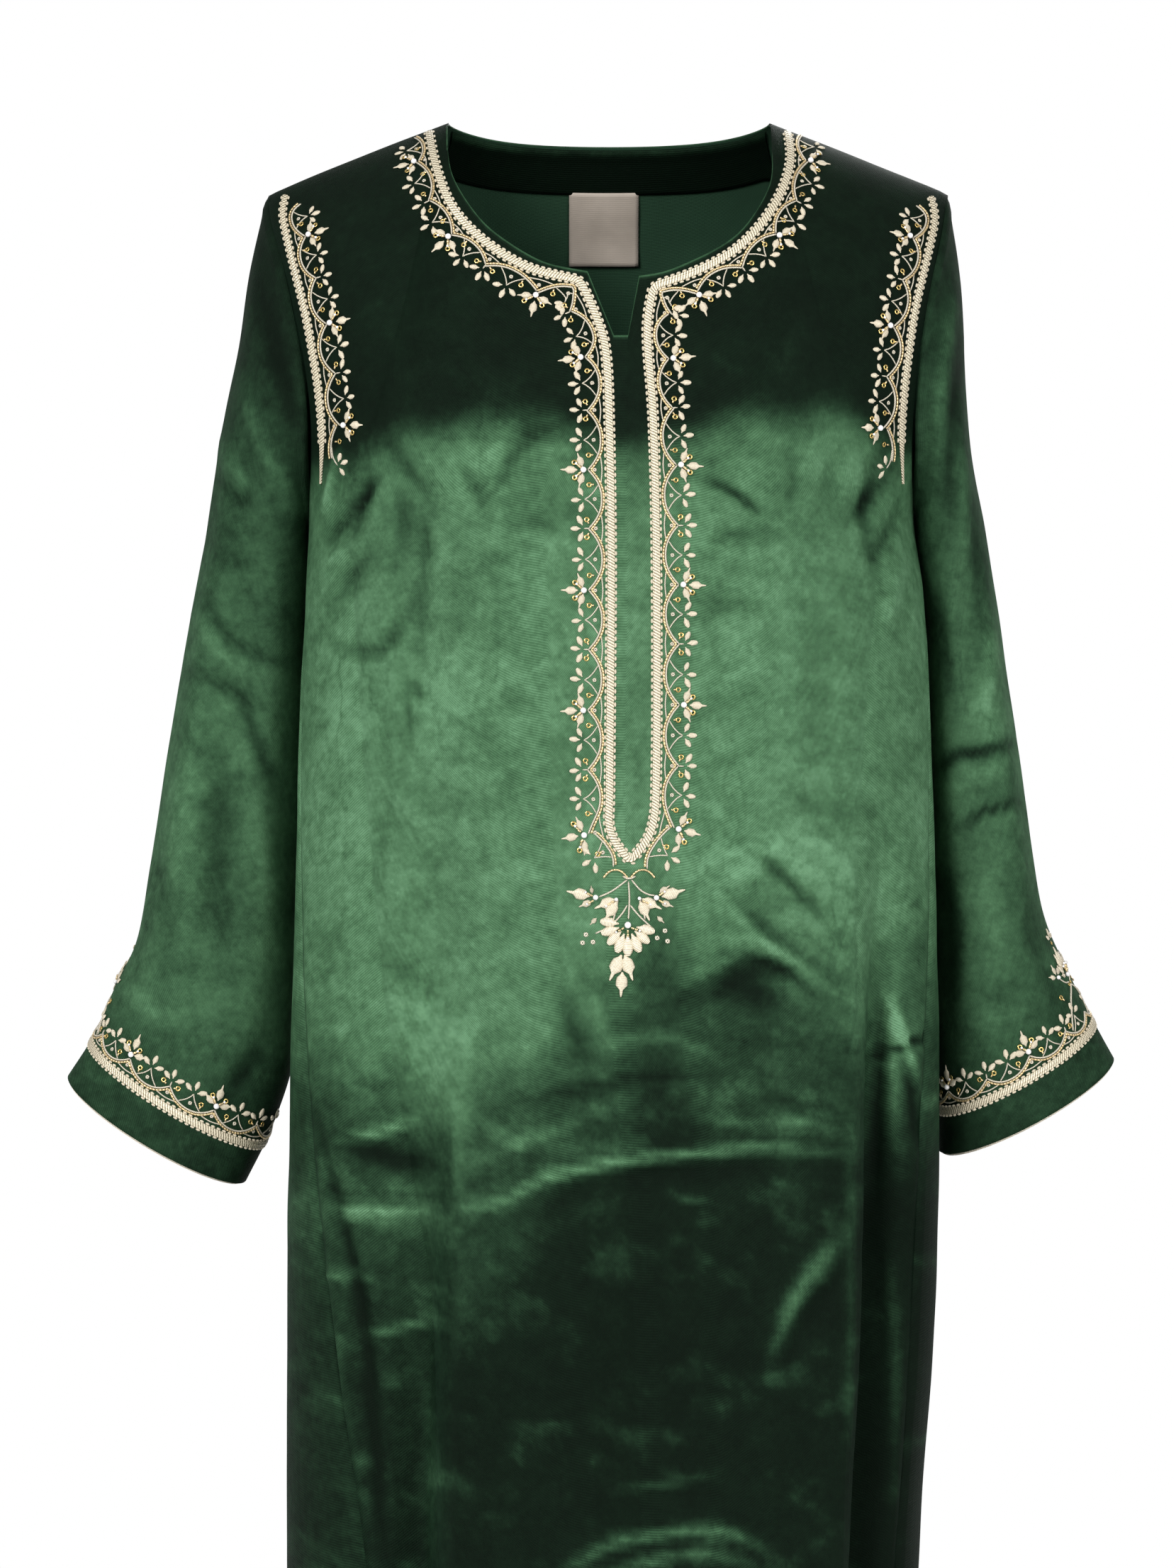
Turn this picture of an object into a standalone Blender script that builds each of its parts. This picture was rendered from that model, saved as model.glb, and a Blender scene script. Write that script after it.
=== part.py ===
"""A long-sleeved velvet kaftan, hollow and filled out as if worn, as its sewn pieces.

The front faces -Y. The origin lies midway between the two high shoulder points. Right and left in the
pieces' names are the wearer's, so the right sleeve lies at -X. Sizes are metres and angles are degrees.
"""

import bisect
import math

import bmesh
import bpy
import numpy as np
from mathutils import Vector
from mathutils.bvhtree import BVHTree

# Cloth and seams
WALL = 0.0016
SEAM_GAP = 0.0003
MOST_MITRE = 1.7

# Shoulder line: high shoulder point, shoulder tip, and how far the cloth rolls over it
NECK_HALF = 0.105
SHOULDER_TIP = 0.2235
SHOULDER_TIP_LEFT = 0.2225
SHOULDER_DROP = 0.047
SHOULDER_CROWN = 0.04
SHOULDER_ROLL = 0.100

# Heights of the underarm and the hem below the high shoulder point
UNDERARM = -0.252
HEM = -1.400
SQUARENESS = 2.3

# How many stretches each outline is divided into
YOKE_ROWS = 12
SKIRT_ROWS = 15
SHOULDER_COLUMNS = 5
NECK_COLUMNS = 8
NOTCH_COLUMNS = 2
BACK_NECK_COLUMNS = 13
SLEEVE_ROWS = 14

# Trim
BRAID_WIDTH = 0.007
BRAID_THICK = 0.0013
BRAID_CLEAR = 0.0006
BRAID_STEP = 0.009
BRAID_TOP_SHARE = 0.7
LEAST_CLEAR = 0.0003
CUFF_BRAID_UP = 0.028
CLEAR_ROUNDS = 4
CLEAR_SAMPLES = 8
LINE_SAMPLES = 20
FACING_DEPTH = 0.027
FACING_DOWN = 0.0012
FACING_HALF = 0.097
FACING_THICK = 0.0010
FACING_ROWS = 3
LABEL_SIDE = 0.047
LABEL_MIDDLE = -0.003
LABEL_THICK = 0.0010
LABEL_HANG = 0.0012
LABEL_ROWS = 3
INSIDE_CLEAR = 0.0006
MOTIF_THICK = 0.0018
MOTIF_CLEAR = 0.0006


class Table:
    """Rows of sizes with named columns, read between the rows along a smooth curve."""

    def __init__(self, names, rows):
        self.columns = {name: [row[i] for row in rows] for i, name in enumerate(names)}
        self.key = [-value for value in self.columns[names[0]]]
        if self.key[0] > self.key[-1]:
            self.key = [-value for value in self.key]
        self.sign = -1 if self.columns[names[0]][0] > self.columns[names[0]][-1] else 1

    def at(self, name, where):
        keys, values = self.key, self.columns[name]
        where = min(max(self.sign * where, keys[0]), keys[-1])
        i = min(max(bisect.bisect_right(keys, where) - 1, 0), len(keys) - 2)
        span = keys[i + 1] - keys[i]
        share = (where - keys[i]) / span

        def slope(j):
            before, after = max(j - 1, 0), min(j + 1, len(keys) - 1)
            return (values[after] - values[before]) / (keys[after] - keys[before]) * span

        square, cube = share * share, share**3
        return (
            (2 * cube - 3 * square + 1) * values[i]
            + (cube - 2 * square + share) * slope(i)
            + (3 * square - 2 * cube) * values[i + 1]
            + (cube - square) * slope(i + 1)
        )


# The body's form by height: its two side edges, where the sides lie, and its front and back.
# Above the underarm the edges run on under the sleeves, and the armholes cut them off.
BODY = Table(
    ("height", "right_edge", "left_edge", "side", "front", "back"),
    (
        (0.030, -0.240, 0.240, 0.000, -0.074, 0.060),
        (-0.050, -0.238, 0.238, 0.000, -0.096, 0.094),
        (-0.100, -0.234, 0.235, 0.000, -0.109, 0.112),
        (-0.150, -0.224, 0.226, 0.000, -0.121, 0.120),
        (-0.200, -0.208, 0.211, 0.000, -0.132, 0.122),
        (-0.252, -0.1965, 0.1995, 0.000, -0.140, 0.121),
        (-0.310, -0.1975, 0.2050, -0.014, -0.145, 0.119),
        (-0.380, -0.2005, 0.2085, -0.026, -0.147, 0.118),
        (-0.520, -0.2040, 0.2125, -0.030, -0.149, 0.120),
        (-0.620, -0.2070, 0.2140, -0.030, -0.151, 0.125),
        (-0.760, -0.2090, 0.2120, -0.024, -0.154, 0.130),
        (-0.950, -0.2095, 0.2010, -0.015, -0.157, 0.135),
        (-1.150, -0.2110, 0.2000, -0.008, -0.161, 0.140),
        (-1.400, -0.2160, 0.2060, 0.000, -0.167, 0.147),
    ),
)

# The armholes as the front view shows them
ARMHOLE = Table(
    ("height", "right", "left"),
    (
        (-0.0465, -0.2235, 0.2225),
        (-0.065, -0.2205, 0.2190),
        (-0.085, -0.2150, 0.2145),
        (-0.105, -0.2095, 0.2095),
        (-0.130, -0.2035, 0.2040),
        (-0.155, -0.1985, 0.2000),
        (-0.180, -0.1950, 0.1975),
        (-0.205, -0.1935, 0.1962),
        (-0.230, -0.1945, 0.1972),
        (-0.252, -0.1965, 0.1995),
    ),
)

# The side seams by height, as angles round the body: 0 is the right side, 90 the middle of the front,
# 180 the left side and 270 the middle of the back. The right seam swings forward towards the hem.
SIDE_SEAMS = Table(
    ("height", "right", "left"),
    (
        (-0.252, 0.0, 180.0),
        (-0.400, 7.0, 171.0),
        (-0.520, 15.0, 164.0),
        (-0.600, 21.0, 159.0),
        (-0.700, 29.0, 156.0),
        (-0.800, 37.0, 155.0),
        (-0.950, 46.0, 155.0),
        (-1.150, 50.0, 156.0),
        (-1.400, 52.0, 157.0),
    ),
)

# Hanging folds: angle where each starts and at the hem, the heights where it starts and is full,
# how far it stands out there, and its width on the right and on the left
FOLDS = (
    ("start_angle", "hem_angle", "start", "full", "out", "right_width", "left_width"),
    (68.0, 67.0, -0.42, -0.90, 0.010, 4.5, 15.0),
    (58.0, 56.0, -0.42, -0.90, -0.024, 9.0, 5.0),
    (131.0, 132.0, -0.40, -0.75, 0.009, 16.0, 4.5),
    (142.0, 144.0, -0.40, -0.75, -0.030, 5.0, 7.0),
    (100.0, 98.0, -0.70, -1.30, 0.007, 15.0, 15.0),
    (212.0, 208.0, -0.36, -1.00, -0.026, 9.0, 10.0),
    (236.0, 233.0, -0.32, -1.00, 0.012, 10.0, 9.0),
    (256.0, 254.0, -0.40, -1.10, -0.020, 9.0, 8.0),
    (287.0, 289.0, -0.40, -1.05, -0.018, 8.0, 10.0),
    (309.0, 312.0, -0.32, -1.00, 0.012, 9.0, 9.0),
    (333.0, 336.0, -0.38, -0.95, -0.024, 9.0, 9.0),
)

# Front neck edge from the right shoulder to the notch, and from the notch to the left shoulder, as
# across and height
NECK_RIGHT = (
    ("across", "height"),
    (-0.1050, 0.0000),
    (-0.1030, -0.0320),
    (-0.0970, -0.0510),
    (-0.0820, -0.0740),
    (-0.0650, -0.0890),
    (-0.0410, -0.1030),
    (-0.0140, -0.1090),
)
NOTCH = (("across", "height"), (-0.0140, -0.1090), (0.0026, -0.1505), (0.0115, -0.1505), (0.0185, -0.1120))
NECK_LEFT = (
    ("across", "height"),
    (0.0185, -0.1120),
    (0.0380, -0.1080),
    (0.0690, -0.0930),
    (0.0870, -0.0775),
    (0.1020, -0.0510),
    (0.1050, -0.0280),
    (0.1050, 0.0000),
)
BACK_NECK_HEIGHT = -0.007

# Sleeve sections from the armhole to the cuff: the outer and inner points of each in the front view,
# where its middle lies, half its depth, and how much lower its front runs than its back
SLEEVE_COLUMNS = (
    "station", "outer_x", "outer_z", "inner_x", "inner_z", "middle_y", "half_depth", "front_drop",
)
SLEEVE_RIGHT = Table(
    SLEEVE_COLUMNS,
    (
        (0, -0.2235, -0.0465, -0.1965, -0.252, 0.000, 0.066, 0.000),
        (1, -0.2350, -0.0950, -0.2030, -0.262, 0.003, 0.066, 0.000),
        (2, -0.2430, -0.1450, -0.2035, -0.277, 0.008, 0.064, 0.001),
        (3, -0.2550, -0.2030, -0.2005, -0.302, 0.017, 0.062, 0.002),
        (4, -0.2670, -0.2730, -0.1975, -0.345, 0.024, 0.060, 0.002),
        (5, -0.2760, -0.3220, -0.1975, -0.390, 0.026, 0.059, 0.003),
        (6, -0.2860, -0.3800, -0.1990, -0.440, 0.026, 0.058, 0.004),
        (7, -0.2940, -0.4290, -0.2003, -0.487, 0.025, 0.057, 0.005),
        (8, -0.3030, -0.4870, -0.2020, -0.540, 0.022, 0.055, 0.006),
        (9, -0.3110, -0.5350, -0.2042, -0.585, 0.017, 0.052, 0.008),
        (10, -0.3240, -0.5630, -0.2085, -0.622, 0.012, 0.049, 0.009),
        (11, -0.3380, -0.5960, -0.2220, -0.660, 0.006, 0.046, 0.010),
        (12, -0.3550, -0.6240, -0.2370, -0.692, 0.000, 0.043, 0.011),
    ),
)
SLEEVE_LEFT = Table(
    SLEEVE_COLUMNS,
    (
        (0, 0.2225, -0.0461, 0.1995, -0.252, 0.000, 0.066, 0.000),
        (1, 0.2300, -0.1010, 0.2055, -0.262, 0.001, 0.064, 0.000),
        (2, 0.2335, -0.1540, 0.2065, -0.278, 0.006, 0.066, 0.001),
        (3, 0.2375, -0.2110, 0.2060, -0.303, 0.016, 0.069, 0.002),
        (4, 0.2480, -0.2630, 0.2045, -0.345, 0.025, 0.071, 0.002),
        (5, 0.2550, -0.3070, 0.2050, -0.388, 0.027, 0.070, 0.003),
        (6, 0.2620, -0.3560, 0.2058, -0.432, 0.028, 0.069, 0.004),
        (7, 0.2700, -0.4050, 0.2065, -0.478, 0.028, 0.067, 0.005),
        (8, 0.2800, -0.4760, 0.2075, -0.535, 0.026, 0.063, 0.006),
        (9, 0.2880, -0.5210, 0.2100, -0.577, 0.022, 0.058, 0.008),
        (10, 0.3020, -0.5550, 0.2130, -0.612, 0.017, 0.053, 0.009),
        (11, 0.3180, -0.5870, 0.2155, -0.645, 0.012, 0.048, 0.010),
        (12, 0.3320, -0.6130, 0.2170, -0.673, 0.008, 0.044, 0.011),
    ),
)
ARMHOLE_FADE = 3.0

# Lengthwise sleeve folds: angle from the outer point by way of the front, where each starts and ends
# as a share of the sleeve, how far it stands out, and its width
SLEEVE_FOLDS = (
    ("angle", "start", "end", "out", "width"),
    (50.0, 0.10, 0.90, 0.0030, 16.0),
    (82.0, 0.15, 0.95, -0.0045, 15.0),
    (118.0, 0.20, 0.90, 0.0030, 16.0),
    (205.0, 0.30, 0.95, -0.0025, 16.0),
    (262.0, 0.15, 0.90, -0.0040, 16.0),
    (300.0, 0.15, 0.90, 0.0030, 16.0),
)

# Middle line of the braid round the neck and placket, from the right shoulder to the point
BRAID_NECK_RIGHT = (
    ("across", "height"),
    (-0.1172, -0.0085),
    (-0.1115, -0.0355),
    (-0.1025, -0.0610),
    (-0.0900, -0.0790),
    (-0.0715, -0.0950),
    (-0.0490, -0.1075),
    (-0.0210, -0.1145),
)
BRAID_PLACKET_RIGHT = (
    ("across", "height"),
    (-0.0175, -0.1175),
    (-0.0080, -0.1400),
    (-0.0023, -0.1630),
    (-0.0002, -0.2150),
    (0.0008, -0.3000),
    (-0.0002, -0.4300),
    (0.0002, -0.4620),
    (0.0110, -0.4795),
)
BRAID_PLACKET_LEFT = (
    ("across", "height"),
    (0.0140, -0.4795),
    (0.0262, -0.4600),
    (0.0290, -0.4190),
    (0.0290, -0.2900),
    (0.0272, -0.2050),
    (0.0240, -0.1600),
    (0.0240, -0.1400),
    (0.0270, -0.1215),
)
BRAID_NECK_LEFT = (
    ("across", "height"),
    (0.0300, -0.1180),
    (0.0546, -0.1090),
    (0.0790, -0.0950),
    (0.0975, -0.0757),
    (0.1105, -0.0530),
    (0.1166, -0.0310),
    (0.1160, -0.0085),
)

# Middle lines of the braids beside the front armholes
BRAID_ARM_RIGHT = (
    ("across", "height"),
    (-0.2105, -0.0500),
    (-0.2115, -0.0640),
    (-0.2070, -0.0840),
    (-0.2015, -0.1050),
    (-0.1950, -0.1300),
    (-0.1900, -0.1560),
    (-0.1860, -0.1820),
    (-0.1840, -0.2100),
    (-0.1850, -0.2400),
)
BRAID_ARM_LEFT = (
    ("across", "height"),
    (0.2095, -0.0510),
    (0.2110, -0.0660),
    (0.2068, -0.0850),
    (0.2015, -0.1050),
    (0.1955, -0.1300),
    (0.1915, -0.1560),
    (0.1885, -0.1820),
    (0.1870, -0.2100),
    (0.1885, -0.2400),
)

# Raised goldwork under the placket: middle, the way its middle lobe points (90 is up), half the angle
# that the lobes spread over, how many lobes, their length, and the depth of the dips between them
MOTIFS = (
    ("name", "across", "height", "points", "spread", "lobes", "length", "dip"),
    ("pendant_flower", 0.0108, -0.5195, 270.0, 78.0, 5, 0.0160, 0.22),
    ("pendant_leaf_right", -0.0104, -0.5030, 164.0, 52.0, 3, 0.0120, 0.62),
    ("pendant_leaf_left", 0.0302, -0.5030, 16.0, 52.0, 3, 0.0120, 0.62),
    ("pendant_leaf_low_right", 0.0034, -0.5068, 222.0, 34.0, 3, 0.0120, 0.62),
    ("pendant_leaf_low_left", 0.0190, -0.5068, 313.0, 34.0, 3, 0.0120, 0.62),
    ("pendant_drop", 0.0079, -0.5405, 270.0, 38.0, 3, 0.0150, 0.62),
)
MOTIF_POINTS_PER_LOBE = 6
MOTIF_HEART = 0.0022
LOBE_SHARPNESS = 1.4
MOTIF_SHOULDER = (0.93, 0.5)
MOTIF_CROWN = 0.55
MOTIF_MIDDLE = 0.8

# Steps between two rows of a table, the shortest stretch of a line, and the share of a sleeve's
# height over which a fold fades in and out
CURVE_STEPS = 12
SHORTEST = 1e-9
FOLD_FADE = 0.2

# Colours as red, green, blue, then roughness and metallic
FINISHES = {
    "velvet": ((0.010, 0.075, 0.030), 0.75, 0.0),
    "braid": ((0.62, 0.54, 0.38), 0.40, 0.6),
    "label": ((0.66, 0.61, 0.53), 0.60, 0.0),
    "goldwork": ((0.66, 0.52, 0.30), 0.40, 0.6),
}


def clear_scene():
    for old in list(bpy.data.objects):
        bpy.data.objects.remove(old, do_unlink=True)


def make_material(name):
    colour, roughness, metallic = FINISHES[name]
    material = bpy.data.materials.new(name)
    material.use_nodes = True
    shader = material.node_tree.nodes["Principled BSDF"]
    shader.inputs["Base Color"].default_value = (*colour, 1.0)
    shader.inputs["Roughness"].default_value = roughness
    shader.inputs["Metallic"].default_value = metallic
    return material


def rows_of(table):
    """The rows of a plain table as one dictionary each, by the column names in its first row."""
    return [dict(zip(table[0], row)) for row in table[1:]]


def ease(share):
    share = min(max(share, 0.0), 1.0)
    return share * share * (3 - 2 * share)


def smooth_line(points, count):
    """count + 1 points evenly along the smooth curve through the given points."""
    points = [Vector(p) for p in points]
    fine = []
    for i in range(len(points) - 1):
        before, after = points[max(i - 1, 0)], points[min(i + 2, len(points) - 1)]
        start, end = points[i], points[i + 1]
        first, last = (end - before) / 2, (after - start) / 2
        for k in range(CURVE_STEPS):
            share = k / CURVE_STEPS
            square, cube = share * share, share**3
            fine.append(
                start * (2 * cube - 3 * square + 1) + first * (cube - 2 * square + share)
                + end * (3 * square - 2 * cube) + last * (cube - square)
            )
    fine.append(points[-1])
    return even_points(fine, count)


def even_points(line, count):
    """count + 1 points at even distances along a line of many short stretches."""
    run = [0.0]
    for a, b in zip(line, line[1:]):
        run.append(run[-1] + (b - a).length)
    found = []
    for k in range(count + 1):
        goal = run[-1] * k / count
        i = min(max(bisect.bisect_right(run, goal) - 1, 0), len(line) - 2)
        share = (goal - run[i]) / max(run[i + 1] - run[i], SHORTEST)
        found.append(line[i].lerp(line[i + 1], min(share, 1.0)))
    return found


def shoulder_height(x):
    """Height of the shoulder line, which runs on over the neck as a low crown."""

    def run(across):
        return math.hypot(across, SHOULDER_CROWN)

    slope = SHOULDER_DROP / (run(SHOULDER_TIP) - run(NECK_HALF))
    return slope * (run(NECK_HALF) - run(x))


def torso_y(x, height, side):
    """Where the body's front or back lies at a place in the front view."""
    right, left = BODY.at("right_edge", height), BODY.at("left_edge", height)
    across = min(abs((x - (right + left) / 2) / ((left - right) / 2)), 1.0)
    fullness = (1 - across**SQUARENESS) ** (1 / SQUARENESS)
    drop = min(max(shoulder_height(x) - height, 0.0) / SHOULDER_ROLL, 1.0)
    roll = math.sqrt(1 - (1 - drop) ** 2)
    middle = BODY.at("side", height)
    return middle + (BODY.at(side, height) - middle) * fullness * roll


def fold_out(angle, height):
    """How far the hanging folds move the cloth outwards."""
    total = 0.0
    for fold in rows_of(FOLDS):
        rise = ease((height - fold["start"]) / (fold["full"] - fold["start"]))
        down = (height - fold["start"]) / (HEM - fold["start"])
        middle = fold["start_angle"] + (fold["hem_angle"] - fold["start_angle"]) * min(max(down, 0.0), 1.0)
        away = (angle - middle + 180) % 360 - 180
        width = fold["left_width"] if away > 0 else fold["right_width"]
        total += fold["out"] * rise * math.exp(-((away / width) ** 2))
    return total


def body_point(angle, height):
    """The point at an angle round the body, below the underarm."""
    turn = math.radians(angle % 360)
    cosine, sine = math.cos(turn), math.sin(turn)
    right, left = BODY.at("right_edge", height), BODY.at("left_edge", height)
    side = BODY.at("side", height)
    half = (left - right) / 2
    deep = abs(BODY.at("front" if sine > 0 else "back", height) - side)
    power = 2 / SQUARENESS
    across = -math.copysign(abs(cosine) ** power, cosine)
    along = -math.copysign(abs(sine) ** power, sine)
    outward = Vector(
        (
            math.copysign(abs(across) ** (SQUARENESS - 1), across) / half,
            math.copysign(abs(along) ** (SQUARENESS - 1), along) / deep,
            0.0,
        )
    ).normalized()
    base = Vector(((right + left) / 2 + half * across, side + deep * along, height))
    return base + outward * fold_out(angle % 360, height)


def section_angles(height, start, end, count):
    """Angles that part a stretch of the body's section into even lengths of cloth."""
    steps = 90
    angles = [start + (end - start) * k / steps for k in range(steps + 1)]
    points = [body_point(angle, height) for angle in angles]
    run = [0.0]
    for a, b in zip(points, points[1:]):
        run.append(run[-1] + (b - a).length)
    return [float(np.interp(run[-1] * k / count, run, angles)) for k in range(count + 1)]


def shoulder_seam(hand, count):
    """Front-view points of a shoulder seam from its tip to the high shoulder point."""
    tip = -SHOULDER_TIP if hand < 0 else SHOULDER_TIP_LEFT
    inner = hand * NECK_HALF
    xs = [tip + (inner - tip) * k / count for k in range(count + 1)]
    return [Vector((x, shoulder_height(x), 0.0)) for x in xs]


def flat_points(table):
    return [(row["across"], row["height"], 0.0) for row in rows_of(table)]


def front_top_edge():
    """Front-view points along the top of the front: shoulder, neck with its notch, shoulder."""
    edge = shoulder_seam(-1, SHOULDER_COLUMNS)
    edge += smooth_line(flat_points(NECK_RIGHT), NECK_COLUMNS)[1:]
    corners = [Vector(p) for p in flat_points(NOTCH)]
    for start, end, count in zip(corners, corners[1:], (NOTCH_COLUMNS, 1, NOTCH_COLUMNS)):
        edge += [start.lerp(end, (k + 1) / count) for k in range(count)]
    edge += smooth_line(flat_points(NECK_LEFT), NECK_COLUMNS)[1:]
    return edge + shoulder_seam(1, SHOULDER_COLUMNS)[::-1][1:]


def back_neck_curve(x):
    """Height of the back neck edge, a shallow curve between the high shoulder points."""
    share = min(abs(x) / NECK_HALF, 1.0)
    return BACK_NECK_HEIGHT * (1 - share**4)


def back_top_edge():
    edge = shoulder_seam(-1, SHOULDER_COLUMNS)
    for k in range(1, BACK_NECK_COLUMNS):
        x = -NECK_HALF * math.cos(math.pi * k / BACK_NECK_COLUMNS)
        edge.append(Vector((x, back_neck_curve(x), 0.0)))
    return edge + shoulder_seam(1, SHOULDER_COLUMNS)[::-1]


def yoke_share(row):
    """How far down the yoke a row lies: closest together at the shoulder and the underarm."""
    return (1 - math.cos(math.pi * row / YOKE_ROWS)) / 2


def armhole_edge(hand):
    """Front-view points of an armhole from the shoulder tip to the underarm."""
    tip = shoulder_seam(hand, 1)[0]
    points = []
    for k in range(YOKE_ROWS + 1):
        down = yoke_share(k)
        height = tip.y + (UNDERARM - tip.y) * down
        x = ARMHOLE.at("right" if hand < 0 else "left", height)
        points.append(Vector((tip.x if k == 0 else x, height, 0.0)))
    return points


def body_panel(side, top, columns):
    """Grid of points of the front or back: the yoke first, then the skirt down to the hem."""
    sign = 1 if side == "front" else -1
    start, end = (0.0, 180.0) if side == "front" else (0.0, -180.0)
    angles = section_angles(UNDERARM, start, end, columns)
    bottom = [body_point(angle, UNDERARM) for angle in angles]
    right, left = armhole_edge(-1), armhole_edge(1)
    grid = []
    for i in range(YOKE_ROWS + 1):
        down = yoke_share(i)
        row = []
        for j in range(columns + 1):
            over = j / columns
            low = Vector((bottom[j].x, bottom[j].z, 0.0))
            place = top[j].lerp(low, down) + right[i].lerp(left[i], over)
            high_line = top[0].lerp(top[-1], over)
            low_line = Vector((bottom[0].x, UNDERARM, 0)).lerp(Vector((bottom[-1].x, UNDERARM, 0)), over)
            place -= high_line.lerp(low_line, down)
            row.append(Vector((place.x, torso_y(place.x, place.y, side), place.y)))
        grid.append(row)
    for j, place in enumerate(top):
        if min(j, columns - j) <= SHOULDER_COLUMNS:
            grid[0][j] = Vector((place.x, 0.0, place.y))
    grid[-1] = bottom
    for i in range(1, SKIRT_ROWS + 1):
        height = UNDERARM + (HEM - UNDERARM) * i / SKIRT_ROWS
        right_seam, left_seam = SIDE_SEAMS.at("right", height), SIDE_SEAMS.at("left", height)
        last = left_seam if sign > 0 else left_seam - 360
        angles = section_angles(height, right_seam, last, columns)
        grid.append([body_point(angle, height) for angle in angles])
    return grid


def sleeve_section(table, station, around):
    """The point at an angle round a sleeve's section, on its smooth oval."""
    outer = Vector((table.at("outer_x", station), 0.0, table.at("outer_z", station)))
    inner = Vector((table.at("inner_x", station), 0.0, table.at("inner_z", station)))
    middle = (outer + inner) / 2 + Vector((0.0, table.at("middle_y", station), 0.0))
    depth = Vector((0.0, table.at("half_depth", station), table.at("front_drop", station)))
    turn = math.radians(around)
    return middle + (outer - inner) / 2 * math.cos(turn) - depth * math.sin(turn)


def sleeve_fold_out(around, share):
    total = 0.0
    for fold in rows_of(SLEEVE_FOLDS):
        rise = ease((share - fold["start"]) / FOLD_FADE) * ease((fold["end"] - share) / FOLD_FADE)
        away = (around - fold["angle"] + 180) % 360 - 180
        total += fold["out"] * rise * math.exp(-((away / fold["width"]) ** 2))
    return total


def sleeve_grid(table, hand, front, back):
    """Grid of points of a sleeve: rings from the armhole seam to the cuff, each run by the front."""
    column = 0 if hand < 0 else -1
    seam = [front[i][column] for i in range(YOKE_ROWS + 1)]
    seam += [back[i][column] for i in range(YOKE_ROWS - 1, 0, -1)]
    count = len(seam)
    last = table.columns["station"][-1]
    grid = [seam]
    for j in range(1, SLEEVE_ROWS + 1):
        station = last * j / SLEEVE_ROWS
        fade = ease(1 - station / ARMHOLE_FADE)
        ring = []
        for k in range(count):
            around = 360 * k / count
            point = sleeve_section(table, station, around)
            middle = (sleeve_section(table, station, 0) + sleeve_section(table, station, 180)) / 2
            outward = (point - middle).normalized()
            point = point + outward * sleeve_fold_out(around, station / last)
            ring.append(point + (seam[k] - sleeve_section(table, 0, around)) * fade)
        grid.append(ring)
    return grid


def grid_faces(rows, columns, closed):
    """Corner indices of each cell of a grid, as (row, column) pairs."""
    across = columns if closed else columns - 1
    for i in range(rows - 1):
        for j in range(across):
            after = (j + 1) % columns
            yield (i, j), (i + 1, j), (i + 1, after), (i, after)


def halves(cell):
    """A cell's two triangles, so that trim is seated on the same faces as the wall has."""
    a, b, c, d = cell
    return (a, b, c), (a, c, d)


def shared_normals(grids):
    """Outward directions at every grid point. Pieces that meet at a seam share the line that halves it."""

    def key(point):
        return tuple(round(value, 5) for value in point)

    sides = {}
    for name, (grid, closed, flip) in grids.items():
        part_of = name if name.startswith("sleeve") else "body"
        for cell in grid_faces(len(grid), len(grid[0]), closed):
            a, b, c, d = (grid[i][j] for i, j in cell)
            area = (c - a).cross(d - b) * flip
            for i, j in cell:
                here = sides.setdefault(key(grid[i][j]), {})
                here[part_of] = here.get(part_of, Vector()) + area
    found = {}
    for name, (grid, _, _) in grids.items():
        found[name] = []
        for row in grid:
            line = []
            for point in row:
                meeting = [area.normalized() for area in sides[key(point)].values()]
                direction = sum(meeting, Vector()).normalized()
                lean = max(direction.dot(meeting[0]), 1 / MOST_MITRE)
                line.append(direction / lean)
            found[name].append(line)
    return found


def pull_back(layer, name):
    """Moves a piece's seam edges half a seam gap into the piece."""
    rows, columns = len(layer), len(layer[0])
    moved = [[point.copy() for point in row] for row in layer]

    def shift(place, into, before, after):
        """Moves one point into the piece, square to the seam that runs from before to after."""
        (i, j), here = place, layer[place[0]][place[1]]
        seam = (layer[after[0]][after[1]] - layer[before[0]][before[1]]).normalized()
        step = layer[into[0]][into[1]] - here
        step = (step - seam * step.dot(seam)).normalized()
        moved[i][j] += step * (SEAM_GAP / 2)

    if name.startswith("sleeve"):
        for j in range(columns):
            shift((0, j), (1, j), (0, j - 1), (0, (j + 1) % columns))
        return moved
    for i in range(rows):
        above, below = max(i - 1, 0), min(i + 1, rows - 1)
        shift((i, 0), (i, 1), (above, 0), (below, 0))
        shift((i, columns - 1), (i, columns - 2), (above, columns - 1), (below, columns - 1))
    last = columns - 1
    for start, end in ((0, SHOULDER_COLUMNS), (last - SHOULDER_COLUMNS, last)):
        for j in range(start, end + 1):
            shift((0, j), (1, j), (0, max(j - 1, start)), (0, min(j + 1, end)))
    return moved


def finish_object(name, vertices, faces, finish, smooth_angle=40.0):
    """A named object from points and faces, its faces turned outwards."""
    mesh = bpy.data.meshes.new(name)
    mesh.from_pydata([tuple(v) for v in vertices], [], faces)
    work = bmesh.new()
    work.from_mesh(mesh)
    bmesh.ops.recalc_face_normals(work, faces=work.faces)
    work.to_mesh(mesh)
    work.free()
    mesh.shade_smooth()
    mesh.set_sharp_from_angle(angle=math.radians(smooth_angle))
    obj = bpy.data.objects.new(name, mesh)
    bpy.context.scene.collection.objects.link(obj)
    obj.data.materials.append(finish)
    return obj


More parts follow.
